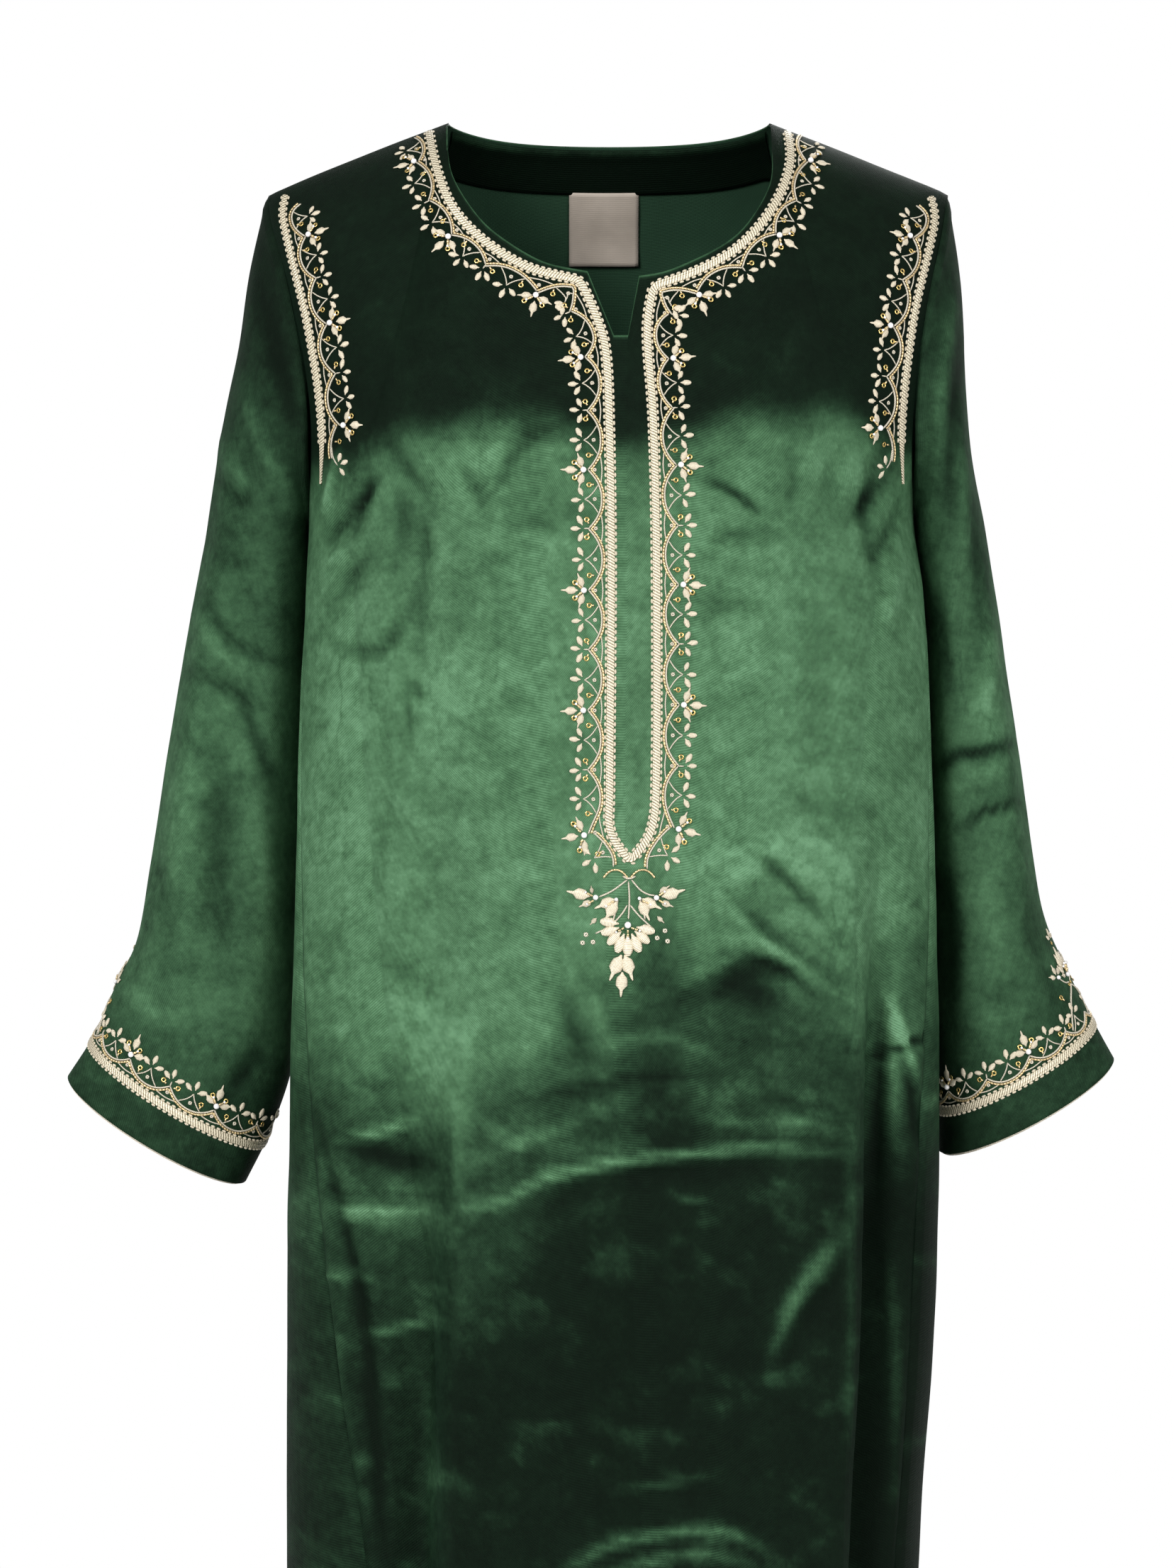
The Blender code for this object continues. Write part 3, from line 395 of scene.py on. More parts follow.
def body_panel(side, top):
    """Grid of points of the front or back: the yoke first, then the skirt down to the hem."""
    columns = len(top) - 1
    down = (1 - np.cos(np.pi * np.arange(YOKE_ROWS + 1) / YOKE_ROWS)) / 2
    edges = {}
    for hand, tip in SHOULDER_TIP.items():
        high = shoulder_height(tip)
        heights = high + (UNDERARM - high) * down
        edges[hand] = np.stack([read(ARMHOLE, hand, heights), heights], axis=1)
        edges[hand][0] = (tip, high)
    half_turn = 180.0 if side == "front" else -180.0
    bottom = body_points(section_angles(UNDERARM, 0.0, half_turn, columns), UNDERARM)
    place = fill_between(top, bottom[:, [0, 2]], edges["right"], edges["left"], down)
    x, z = place[..., 0], place[..., 1]
    yoke = np.stack([x, torso_y(x, z, side), z], axis=-1)
    yoke[0, :SHOULDER_COLUMNS + 1, 1] = 0.0
    yoke[0, -SHOULDER_COLUMNS - 1:, 1] = 0.0
    yoke[-1] = bottom
    rows = [yoke]
    for height in np.linspace(UNDERARM, HEM, SKIRT_ROWS + 1)[1:]:
        start, end = read(SIDE_SEAMS, "right", height), read(SIDE_SEAMS, "left", height)
        angles = section_angles(height, start, end if side == "front" else end - 360, columns)
        rows.append(body_points(angles, height)[None])
    return np.vstack(rows)


front_grid = body_panel("front", front_top_edge())
back_grid = body_panel("back", back_top_edge())
print("front", front_grid.shape, "back", back_grid.shape)

# %% [markdown]
# ## The sleeves' form
# A set-in sleeve is a tube sewn into the armhole. Its first ring of points is the armhole itself, and the
# rings then settle into ovals that widen again at the cuff.

# %% Sizes of the sleeves
SLEEVE_NAMES = (
    "station", "outer_x", "outer_z", "inner_x", "inner_z", "middle_y", "half_depth", "front_drop",
)
SLEEVES = {
    "right": curves(
        SLEEVE_NAMES,
        (
            (0, -0.2235, -0.0465, -0.1965, -0.252, 0.000, 0.066, 0.000),
            (1, -0.2350, -0.0950, -0.2030, -0.262, 0.003, 0.066, 0.000),
            (2, -0.2430, -0.1450, -0.2035, -0.277, 0.008, 0.064, 0.001),
            (3, -0.2550, -0.2030, -0.2005, -0.302, 0.017, 0.062, 0.002),
            (4, -0.2670, -0.2730, -0.1975, -0.345, 0.024, 0.060, 0.002),
            (5, -0.2760, -0.3220, -0.1975, -0.390, 0.026, 0.059, 0.003),
            (6, -0.2860, -0.3800, -0.1990, -0.440, 0.026, 0.058, 0.004),
            (7, -0.2940, -0.4290, -0.2003, -0.487, 0.025, 0.057, 0.005),
            (8, -0.3030, -0.4870, -0.2020, -0.540, 0.022, 0.055, 0.006),
            (9, -0.3110, -0.5350, -0.2042, -0.585, 0.017, 0.052, 0.008),
            (10, -0.3240, -0.5630, -0.2085, -0.622, 0.012, 0.049, 0.009),
            (11, -0.3380, -0.5960, -0.2220, -0.660, 0.006, 0.046, 0.010),
            (12, -0.3550, -0.6240, -0.2370, -0.692, 0.000, 0.043, 0.011),
        ),
    ),
    "left": curves(
        SLEEVE_NAMES,
        (
            (0, 0.2225, -0.0461, 0.1995, -0.252, 0.000, 0.066, 0.000),
            (1, 0.2300, -0.1010, 0.2055, -0.262, 0.001, 0.064, 0.000),
            (2, 0.2335, -0.1540, 0.2065, -0.278, 0.006, 0.066, 0.001),
            (3, 0.2375, -0.2110, 0.2060, -0.303, 0.016, 0.069, 0.002),
            (4, 0.2480, -0.2630, 0.2045, -0.345, 0.025, 0.071, 0.002),
            (5, 0.2550, -0.3070, 0.2050, -0.388, 0.027, 0.070, 0.003),
            (6, 0.2620, -0.3560, 0.2058, -0.432, 0.028, 0.069, 0.004),
            (7, 0.2700, -0.4050, 0.2065, -0.478, 0.028, 0.067, 0.005),
            (8, 0.2800, -0.4760, 0.2075, -0.535, 0.026, 0.063, 0.006),
            (9, 0.2880, -0.5210, 0.2100, -0.577, 0.022, 0.058, 0.008),
            (10, 0.3020, -0.5550, 0.2130, -0.612, 0.017, 0.053, 0.009),
            (11, 0.3180, -0.5870, 0.2155, -0.645, 0.012, 0.048, 0.010),
            (12, 0.3320, -0.6130, 0.2170, -0.673, 0.008, 0.044, 0.011),
        ),
    ),
}
LAST_STATION = 12
print("sleeve stations", LAST_STATION + 1)

# %% Surfaces of the sleeves
SLEEVE_RINGS = 126
# How many stations it takes for the armhole's own shape to settle into an oval
ARMHOLE_FADE = 3.0
SLEEVE_FOLDS = (
    # angle round the sleeve, shares of the length where a fold starts and ends, how far out, half width
    (50.0, 0.10, 0.90, 0.0030, 16.0),
    (82.0, 0.15, 0.95, -0.0045, 15.0),
    (118.0, 0.20, 0.90, 0.0030, 16.0),
    (205.0, 0.30, 0.95, -0.0025, 16.0),
    (262.0, 0.15, 0.90, -0.0040, 16.0),
    (300.0, 0.15, 0.90, 0.0030, 16.0),
)


def sleeve_points(hand, station, around):
    """Points on a sleeve's smooth ovals. 0 is the outer line, 90 the front and 180 the inner line."""
    table = SLEEVES[hand]
    around = np.radians(np.asarray(around, float))
    station, around = np.broadcast_arrays(np.asarray(station, float), around)
    at = {name: read(table, name, station) for name in SLEEVE_NAMES}
    cosine, sine = np.cos(around), np.sin(around)
    x = (at["outer_x"] + at["inner_x"]) / 2 + (at["outer_x"] - at["inner_x"]) / 2 * cosine
    z = (at["outer_z"] + at["inner_z"]) / 2 + (at["outer_z"] - at["inner_z"]) / 2 * cosine
    return np.stack([x, at["middle_y"] - at["half_depth"] * sine, z - at["front_drop"] * sine], axis=-1)


def sleeve_grid(hand):
    """Rings of points from the armhole seam to the cuff, each run by the front."""
    column = 0 if hand == "right" else -1
    seam = np.vstack([front_grid[:YOKE_ROWS + 1, column], back_grid[1:YOKE_ROWS, column][::-1]])
    around = 360 * np.arange(len(seam)) / len(seam)
    station = np.linspace(0, LAST_STATION, SLEEVE_RINGS + 1)[:, None]
    points = sleeve_points(hand, station, around[None])
    middle = (sleeve_points(hand, station, 0.0) + sleeve_points(hand, station, 180.0)) / 2
    outward = points - middle
    outward /= np.linalg.norm(outward, axis=-1, keepdims=True)
    out = np.zeros(points.shape[:2])
    for angle, start, end, stands, width in SLEEVE_FOLDS:
        share = station / LAST_STATION
        rise = ease((share - start) / 0.2) * ease((end - share) / 0.2)
        away = (around[None] - angle + 180) % 360 - 180
        out += stands * rise * np.exp(-((away / width) ** 2))
    fade = ease(1 - station / ARMHOLE_FADE)
    points = points + outward * out[..., None]
    return points + (seam[None] - sleeve_points(hand, 0.0, around)[None]) * fade[..., None]


sleeve_grids = {hand: sleeve_grid(hand) for hand in ("right", "left")}
print("sleeve", sleeve_grids["right"].shape)

# %% [markdown]
# ## Creases
# Velvet crushes in long soft ridges. Each crease is drawn as a short line in the front view, in
# millimetres across and down from the shoulder, with its half width, how far it stands out or dips, and
# how much painted light it adds to the colour along it, a negative amount painting shade. Hidden sides get
# similar creases of their own.

# %% Creases of the front
FRONT_CREASES = (
    # points across and down in mm, half width, out in mm, painted light (negative for painted shade)
    (((-97, -698), (-66, -693), (-44, -680), (-5, -670), (35, -665), (97, -660), (154, -665)), 5, 1.6, 0.45),
    (((-97, -710), (-60, -704), (-5, -682), (35, -677), (97, -672), (154, -678)), 8, -2.0, -0.10),
    (((152, -708), (130, -738), (115, -757), (98, -796)), 7, 1.1, 0.34),
    (((139, -716), (120, -742), (106, -766)), 6, 0.7, 0.22),
    (((160, -722), (139, -750), (124, -768), (108, -800)), 8, -1.4, -0.05),
    (((-32, -925), (0, -906), (35, -899), (70, -898), (100, -911)), 6, 1.2, 0.42),
    (((-16, -932), (17, -918), (53, -912), (90, -920)), 6, 1.0, 0.30),
    (((57, -492), (101, -536), (146, -567)), 5, 1.3, 0.15),
    (((64, -492), (108, -532), (152, -560)), 6, -1.3, -0.18),
    (((84, -461), (119, -501), (159, -545)), 5, -1.2, -0.17),
    (((44, -488), (101, -474), (154, -510)), 5, 1.2, 0.13),
    (((35, -572), (84, -545), (141, -558)), 6, -1.6, -0.18),
    (((-93, -669), (-40, -651), (13, -629)), 6, 1.1, 0.16),
    (((-84, -638), (-31, -625), (22, -616), (84, -620)), 6, -1.2, -0.16),
    (((57, -638), (101, -647), (150, -634)), 5, 1.1, 0.18),
    (((-10, -600), (30, -590), (70, -604)), 5, 1.0, 0.16),
    (((-36, -192), (-60, -204), (-84, -236)), 6, 1.0, 0.07),
    (((-30, -206), (-56, -222), (-74, -250)), 6, -1.3, -0.22),
    (((-190, -633), (-172, -700), (-155, -775), (-142, -921)), 6, -2.2, -0.20),
    (((-176, -655), (-140, -668), (-104, -672)), 9, -1.0, -0.22),
    (((-186, -700), (-150, -706), (-104, -709)), 8, 1.2, 0.20),
    (((-186, -730), (-176, -790), (-166, -850)), 7, 1.0, 0.16),
    (((-120, -800), (-110, -860), (-112, -930)), 7, 1.0, 0.10),
    (((181, -209), (163, -253), (168, -297)), 6, -1.6, -0.24),
    (((182, -540), (180, -600), (184, -680)), 6, 1.3, 0.22),
    (((174, -560), (171, -620), (168, -700)), 5, -1.8, -0.16),
    (((178, -720), (182, -800), (181, -900)), 6, 1.2, 0.14),
    (((-150, -330), (-141, -420), (-150, -520)), 12, -1.0, -0.06),
    (((120, -300), (134, -380), (128, -450)), 12, -1.0, -0.06),
    (((0, -873), (35, -868), (70, -862)), 5, 1.0, 0.20),
    (((-176, -659), (-142, -651), (-115, -642)), 5, 1.6, 0.40),
    (((-172, -704), (-133, -701), (-102, -699)), 5, 1.4, 0.34),
    (((-160, -780), (-133, -776), (-106, -769)), 4, 1.2, 0.30),
    (((-190, -746), (-165, -742), (-145, -745)), 4, 1.0, 0.22),
    (((-31, -560), (-24, -585), (-12, -608)), 8, -1.8, -0.18),
    (((-12, -562), (-6, -582), (5, -600)), 7, 1.4, 0.14),
    (((36, -688), (50, -692), (64, -690)), 4, 0.8, 0.20),
    (((92, -638), (124, -647), (156, -656)), 7, 1.6, 0.16),
    (((84, -624), (116, -632), (150, -640)), 7, -1.4, -0.10),
    (((-182, -279), (-164, -258), (-146, -238)), 6, -2.2, -0.34),
    (((-184, -262), (-178, -240), (-171, -216)), 4, 1.8, 0.30),
    (((-152, -236), (-158, -258), (-166, -282)), 5, -1.4, -0.22),
    (((-134, -238), (-131, -262), (-130, -288)), 9, -1.4, -0.26),
    (((-186, -340), (-150, -350), (-134, -336), (-120, -312)), 6, -1.6, -0.24),
    (((-132, -350), (-128, -372), (-126, -420)), 4, -1.2, -0.16),
    (((-96, -232), (-84, -246), (-80, -262)), 6, -1.2, -0.20),
    (((-66, -272), (-50, -268), (-34, -276)), 6, -1.0, -0.16),
    (((48, -316), (70, -322), (96, -318)), 6, -1.0, -0.16),
    (((70, -372), (92, -362), (112, -372)), 6, 1.0, 0.12),
    (((112, -222), (116, -240), (112, -262)), 5, -1.0, -0.14),
    (((60, -568), (84, -562), (110, -576)), 17, -0.8, -0.24),
    (((50, -543), (88, -541), (112, -551), (134, -571)), 4, -1.2, -0.20),
    (((46, -534), (88, -531), (116, -543), (140, -562)), 5, 1.2, 0.16),
    (((150, -640), (151, -720), (149, -860)), 5, 1.0, 0.14),
    (((-186, -296), (-166, -284), (-148, -276)), 6, 1.4, 0.10),
    (((-142, -214), (-125, -238), (-111, -256)), 7, -1.8, -0.26),
    (((-176, -318), (-160, -298), (-146, -286)), 7, -1.6, -0.20),
    (((-122, -262), (-117, -280), (-119, -296)), 6, -1.6, -0.16),
    (((59, -242), (77, -249), (98, -266)), 5, -1.8, -0.40),
    (((61, -285), (77, -276), (95, -278)), 5, -1.2, -0.18),
    (((52, -262), (64, -268), (80, -266)), 6, 1.0, 0.05),
    (((186, -227), (168, -249), (150, -268)), 6, -2.0, -0.30),
    (((188, -254), (174, -280), (165, -300)), 6, -1.8, -0.24),
    (((190, -290), (180, -312), (176, -340)), 7, 1.6, 0.08),
    (((150, -214), (140, -238), (134, -262)), 8, -1.6, -0.14),
    (((57, -505), (88, -486), (112, -465)), 6, 1.6, 0.16),
    (((70, -461), (93, -479), (124, -502)), 6, -1.6, -0.18),
    (((108, -466), (135, -472), (152, -494)), 6, 1.4, 0.12),
    (((88, -515), (119, -505), (148, -516)), 6, -1.4, -0.14),
    (((40, -563), (79, -541), (108, -538)), 7, 1.6, 0.14),
    (((46, -575), (84, -553), (116, -552)), 7, -1.6, -0.16),
    (((104, -432), (126, -446), (150, -452)), 7, -1.2, -0.10),
    (((-115, -253), (-119, -325), (-120, -378)), 6, -1.6, -0.12),
    (((-124, -368), (-119, -378), (-112, -377)), 4, -1.6, -0.26),
    (((164, -606), (188, -600), (206, -592)), 4, -2.6, -0.35),
    (((176, -580), (187, -598), (196, -624)), 5, 2.0, 0.40),
    (((186, -600), (193, -626), (196, -660)), 5, -2.2, -0.20),
    (((172, -562), (186, -588), (190, -600)), 4, 1.6, 0.30),
    (((-96, -470), (-60, -486), (-30, -494)), 9, 1.2, 0.06),
    (((-90, -392), (-62, -384), (-34, -388)), 9, -1.2, -0.06),
    (((-150, -430), (-128, -446), (-110, -470)), 9, 1.4, 0.08),
    (((-160, -540), (-134, -548), (-110, -566)), 9, -1.6, -0.10),
    (((60, -330), (94, -352), (130, -360)), 10, 1.2, 0.06),
    (((-84, -170), (-60, -190), (-36, -204)), 9, -1.2, 0.05),
    (((-150, -120), (-134, -160), (-126, -196)), 10, 1.2, 0.04),
    (((120, -130), (108, -166), (96, -192)), 10, -1.2, 0.04),
    (((60, -150), (76, -172), (96, -182)), 8, 1.0, 0.05),
    (((-60, -1040), (0, -1022), (70, -1026)), 7, 1.6, 0.30),
    (((-80, -1180), (-20, -1160), (60, -1168), (120, -1190)), 8, 1.6, 0.25),
    (((-150, -1060), (-120, -1050), (-100, -1046)), 6, 1.4, 0.25),
)
print("creases on the front", len(FRONT_CREASES))

# %% Creases of the back
BACK_CREASES = (
    # as on the front
    (((-160, -250), (-128, -262), (-96, -256)), 8, -2.0, -0.16),
    (((-176, -292), (-150, -282), (-122, -286)), 8, 1.6, 0.10),
    (((150, -236), (128, -262), (104, -280)), 8, -2.0, -0.20),
    (((176, -300), (150, -288), (126, -294)), 8, 1.6, 0.10),
    (((-60, -150), (-20, -162), (30, -158)), 11, -1.6, 0.04),
    (((-110, -560), (-40, -585), (40, -580), (110, -556)), 7, 1.8, 0.28),
    (((-100, -600), (-30, -622), (50, -616)), 8, -1.8, -0.12),
    (((-150, -690), (-110, -700), (-70, -692)), 6, 1.6, 0.32),
    (((60, -700), (104, -716), (150, -706)), 6, 1.6, 0.36),
    (((-60, -790), (10, -776), (70, -786)), 7, 1.6, 0.30),
    (((90, -830), (112, -860), (128, -900)), 6, 1.8, 0.45),
    (((-130, -880), (-96, -898), (-60, -900)), 6, 1.4, 0.30),
    (((-40, -960), (20, -948), (86, -962)), 6, 1.6, 0.38),
    (((-20, -974), (30, -962), (80, -974)), 5, 1.2, 0.30),
    (((-120, -1090), (-70, -1106), (-20, -1100)), 7, 1.6, 0.28),
    (((40, -1180), (90, -1166), (140, -1180)), 7, 1.6, 0.26),
    (((-36, -380), (-30, -440), (-34, -500)), 12, -1.8, -0.05),
    (((70, -420), (96, -446), (130, -458)), 9, 1.4, 0.10),
)


print("creases on the back", len(BACK_CREASES))

# %% [markdown]
# ## Laying creases
# A crease is a smooth hump beside its line that fades at both ends. It also paints light into the colour,
# shade where its amount is negative, over a slightly narrower band. Under all creases the cloth also swells
# very slowly, because no hanging cloth is quite smooth.

# %% How a crease is laid
CREASE_DEEPER, CREASE_NARROWER, CREASE_SHADE = 1.5, 0.8, 1.25
CREASE_REACH, LIT_NARROWER, END_FADE = 4, 0.9, 0.6


def along_line(points, x, z):
    """Distance of each place from a line in the front view, and its share of the way along it."""
    best = np.full(x.shape, 1e9)
    share = np.zeros(x.shape)
    line = smooth_line(points, 6 * (len(points) - 1))
    for i, (a, b) in enumerate(zip(line, line[1:])):
        step = b - a
        t = np.clip(((x - a[0]) * step[0] + (z - a[1]) * step[1]) / (step @ step), 0, 1)
        far = np.hypot(x - a[0] - t * step[0], z - a[1] - t * step[1])
        near = far < best
        best = np.where(near, far, best)
        share = np.where(near, (i + t) / (len(line) - 1), share)
    return best, share


def crease_map(creases, x, z):
    """How far the creases move the cloth out, and how much painted light and shade they add to the colour.
    """
    out, painted_crease_light = np.zeros(x.shape), np.zeros(x.shape)
    for points, half_width, stands, light in creases:
        points = np.array(points, float) / 1000
        half = half_width / 1000
        half *= CREASE_NARROWER
        low, high = points.min(axis=0) - CREASE_REACH * half, points.max(axis=0) + CREASE_REACH * half
        close = (x > low[0]) & (x < high[0]) & (z > low[1]) & (z < high[1])
        far, share = along_line(points, x[close], z[close])
        fade = np.sin(np.pi * np.clip(share, 0.02, 0.98)) ** END_FADE
        hump = np.exp(-((far / half) ** 2)) * fade
        out[close] += CREASE_DEEPER * stands / 1000 * hump
        painted_crease_light[close] += CREASE_SHADE * light * np.exp(-((far / (half * LIT_NARROWER)) ** 2)) * fade
    return out, painted_crease_light


def unevenness(x, z, seed):
    """A slow, small swell of the cloth, from a few crossing waves."""
    total = np.zeros(x.shape)
    for k in range(9):
        turn = seed * 1.7 + k * 2.399
        pitch = 9.0 + 5.5 * k
        along = x * math.cos(turn) + z * math.sin(turn)
        total += np.sin(pitch * along * 2.2 + seed + k * 1.3) / (1 + 0.4 * k)
    return total / 4


print("creases are", CREASE_DEEPER, "times as deep as drawn")


# %% [markdown]
# ## Laying the cloth
# Velvet is flexible, so a panel is made as a thin sheet that follows its form, with its own flat
# coordinates along the cloth. It also carries a number of painted light and shade: 0 paints the pile in
# shade and 1 paints it lit. The shoulders are painted in shade, the chest and waist lit, and the lower
# skirt in shade again, with painted light along its creases and lighter patches of crushed pile.

# %% Painted light and shade by height
# Painted light and shade down the body: the shoulders in shade, the chest and waist lit, the skirt in shade
PAINTED_LIGHT_BY_HEIGHT = curves(
    ("height", "painted_light_and_crush"),
    (
        (0.03, 0.06), (-0.10, 0.05), (-0.170, 0.05), (-0.194, 0.10), (-0.206, 0.34), (-0.222, 0.62),
        (-0.26, 0.68), (-0.36, 0.71), (-0.46, 0.73), (-0.53, 0.70), (-0.565, 0.60), (-0.600, 0.42),
        (-0.630, 0.32), (-0.665, 0.30), (-0.695, 0.18), (-0.74, 0.08), (-0.85, 0.05), (-1.00, 0.06),
        (-1.40, 0.07),
    ),
)
# Height at which the dark yoke turns light, and at which the lit waist turns dark, across the front
CHEST_EDGE = curves(
    ("across", "height"),
    ((-0.23, -0.250), (-0.16, -0.222), (-0.106, -0.205), (-0.074, -0.199), (-0.036, -0.206),
     (-0.018, -0.216), (0.02, -0.222), (0.052, -0.214), (0.080, -0.199), (0.110, -0.194), (0.155, -0.202),
     (0.23, -0.235)),
)
WAIST_EDGE = curves(
    ("across", "height"),
    ((-0.23, -0.640), (-0.10, -0.655), (-0.066, -0.630), (-0.02, -0.600), (0.03, -0.565), (0.08, -0.555),
     (0.15, -0.570), (0.23, -0.600)),
)
print("nap at the chest", float(read(PAINTED_LIGHT_BY_HEIGHT, "painted_light_and_crush", -0.4)))


# %% Helpers for sheets
SHORTEST = 1e-12


def grid_faces(rows, columns, closed):
    """The four corners of each face of a grid of points."""
    index = np.arange(rows * columns).reshape(rows, columns)
    right = np.roll(index, -1, axis=1) if closed else index[:, 1:]
    left = index if closed else index[:, :-1]
    return np.stack([left[:-1], left[1:], right[1:], right[:-1]], axis=-1).reshape(-1, 4)


def grid_normals(grid, closed, flip):
    """Outward directions at each point of a grid."""
    if closed:
        across = np.roll(grid, -1, axis=1) - np.roll(grid, 1, axis=1)
    else:
        across = np.gradient(grid, axis=1)
    down = np.gradient(grid, axis=0)
    normal = np.cross(down, across) * flip
    length = np.linalg.norm(normal, axis=-1, keepdims=True)
    return normal / np.maximum(length, SHORTEST)


def cloth_coordinates(grid):
    """Metres across and along the cloth at each point, for weave and seams."""
    across = np.zeros(grid.shape[:2])
    across[:, 1:] = np.cumsum(np.linalg.norm(np.diff(grid, axis=1), axis=-1), axis=1)
    across -= across[:, -1:] / 2
    down = np.zeros(grid.shape[:2])
    down[1:] = np.cumsum(np.linalg.norm(np.diff(grid, axis=0), axis=-1), axis=0)
    return across, down


def make_sheet(name, grid, closed, flip, painted_light_and_crush, materials, thick=CLOTH_THICK):
    """A cloth sheet from a grid of points, with flat coordinates, painted light and shade, and a real
    thickness.
    """
    faces = grid_faces(*grid.shape[:2], closed)
    if flip < 0:
        faces = faces[:, ::-1]
    mesh = bpy.data.meshes.new(name)
    mesh.from_pydata(grid.reshape(-1, 3).tolist(), [], faces.tolist())
    across, down = cloth_coordinates(grid)
    flat = np.stack([across, -down], axis=-1).reshape(-1, 2)
    layer = mesh.uv_layers.new(name="cloth")
    corners = np.empty(len(mesh.loops), int)
    mesh.loops.foreach_get("vertex_index", corners)
    layer.data.foreach_set("uv", flat[corners].astype(np.float32).ravel())
    mark = mesh.attributes.new("painted_light_and_crush", "FLOAT", "POINT")
    mark.data.foreach_set("value", np.clip(painted_light_and_crush, 0, 1).astype(np.float32).ravel())
    mesh.shade_smooth()
    piece = bpy.data.objects.new(name, mesh)
    bpy.context.scene.collection.objects.link(piece)
    for material in materials:
        mesh.materials.append(material)
    wall = piece.modifiers.new("wall", "SOLIDIFY")
    wall.thickness = thick
    wall.offset = -1.0
    wall.use_even_offset = False
    wall.material_offset = len(materials) - 1
    bpy.ops.object.select_all(action="DESELECT")
    bpy.context.view_layer.objects.active = piece
    piece.select_set(True)
    bpy.ops.object.modifier_apply(modifier="wall")
    return piece


print("cloth", CLOTH_THICK * 1000, "mm thick")

# %% [markdown]
# ## Building a finish
# Every finish here is one Principled shader. Its colour comes from a ramp or a fine noise, and bands of a
# real pitch in metres stand for threads and ribs. These helpers add the nodes, so that each finish below
# reads as a short recipe.

# %% Helpers for materials
def new_material(name, roughness, metallic=0.0):
    material = bpy.data.materials.new(name)
    material.use_nodes = True
    shader = material.node_tree.nodes["Principled BSDF"]
    shader.inputs["Roughness"].default_value = roughness
    shader.inputs["Metallic"].default_value = metallic
    return material, shader


def add_node(material, kind, **values):
    node = material.node_tree.nodes.new(kind)
    for name, value in values.items():
        if name in node.inputs:
            node.inputs[name].default_value = value
        else:
            setattr(node, name, value)
    return node


def link(material, source, goal):
    material.node_tree.links.new(source, goal)


def colour_ramp(material, factor, stops):
    ramp = add_node(material, "ShaderNodeValToRGB")
    while len(ramp.color_ramp.elements) < len(stops):
        ramp.color_ramp.elements.new(0.5)
    for element, (place, colour) in zip(ramp.color_ramp.elements, stops):
        element.position = place
        element.color = (*colour, 1.0)
    link(material, factor, ramp.inputs["Fac"])
    return ramp.outputs["Color"]


def math_step(material, operation, first, second=None, third=None):
    node = add_node(material, "ShaderNodeMath", operation=operation)
    for socket, value in zip(node.inputs, (first, second, third)):
        if value is None:
            continue
        if isinstance(value, (int, float)):
            socket.default_value = value
        else:
            link(material, value, socket)
    return node.outputs[0]


def centred(material, value):
    """A value from 0 to 1 moved so that it lies about 0."""
    return math_step(material, "SUBTRACT", value, 0.5)


def bands(material, place, pitch, direction, distortion=0.0, detail=2.0, detail_scale=1.0):
    """Soft parallel bands, one to each pitch in metres."""
    wave = add_node(material, "ShaderNodeTexWave", wave_type="BANDS", bands_direction=direction)
    wave.inputs["Scale"].default_value = math.pi / (10 * pitch)
    wave.inputs["Distortion"].default_value = distortion
    wave.inputs["Detail"].default_value = detail
    wave.inputs["Detail Scale"].default_value = detail_scale
    link(material, place, wave.inputs["Vector"])
    return wave.outputs["Fac"]


def relief(material, shader, height, strength, distance):
    """A fine relief that only bends the light."""
    bump = add_node(material, "ShaderNodeBump")
    bump.inputs["Strength"].default_value = strength
    bump.inputs["Distance"].default_value = distance
    link(material, height, bump.inputs["Height"])
    link(material, bump.outputs["Normal"], shader.inputs["Normal"])


def noise(material, place, scale, detail=2.0, stretch=None, rough=0.5):
    if stretch is not None:
        mapping = add_node(material, "ShaderNodeMapping")
        mapping.inputs["Scale"].default_value = stretch
        link(material, place, mapping.inputs["Vector"])
        place = mapping.outputs["Vector"]
    node = add_node(material, "ShaderNodeTexNoise")
    node.inputs["Scale"].default_value = scale
    node.inputs["Detail"].default_value = detail
    node.inputs["Roughness"].default_value = rough
    link(material, place, node.inputs["Vector"])
    return node.outputs["Fac"]


# %% [markdown]
# ## Velvet
# The velvet's colour is painted light and shade: the number carried on the cloth picks a green from shade
# to lit, slow noise makes crushed patches, thin wavy lines get painted shade over some patches and painted
# light over others as on small creases, and very fine crosswise ribs follow the cloth's own flat
# coordinates. A trace of sheen gives the edges their glow.

# %% Velvet
# Colours of the velvet, from painted shade at 0 to painted light at 1
VELVET_TONES = (
    (0.00, (0.0020, 0.0060, 0.0029)),
    (0.12, (0.0038, 0.0112, 0.0054)),
    (0.30, (0.0125, 0.0345, 0.0165)),
    (0.50, (0.0330, 0.0830, 0.0400)),
    (0.70, (0.0620, 0.1450, 0.0710)),
    (1.00, (0.1350, 0.2800, 0.1550)),
)
RIB_PITCH = 0.00165


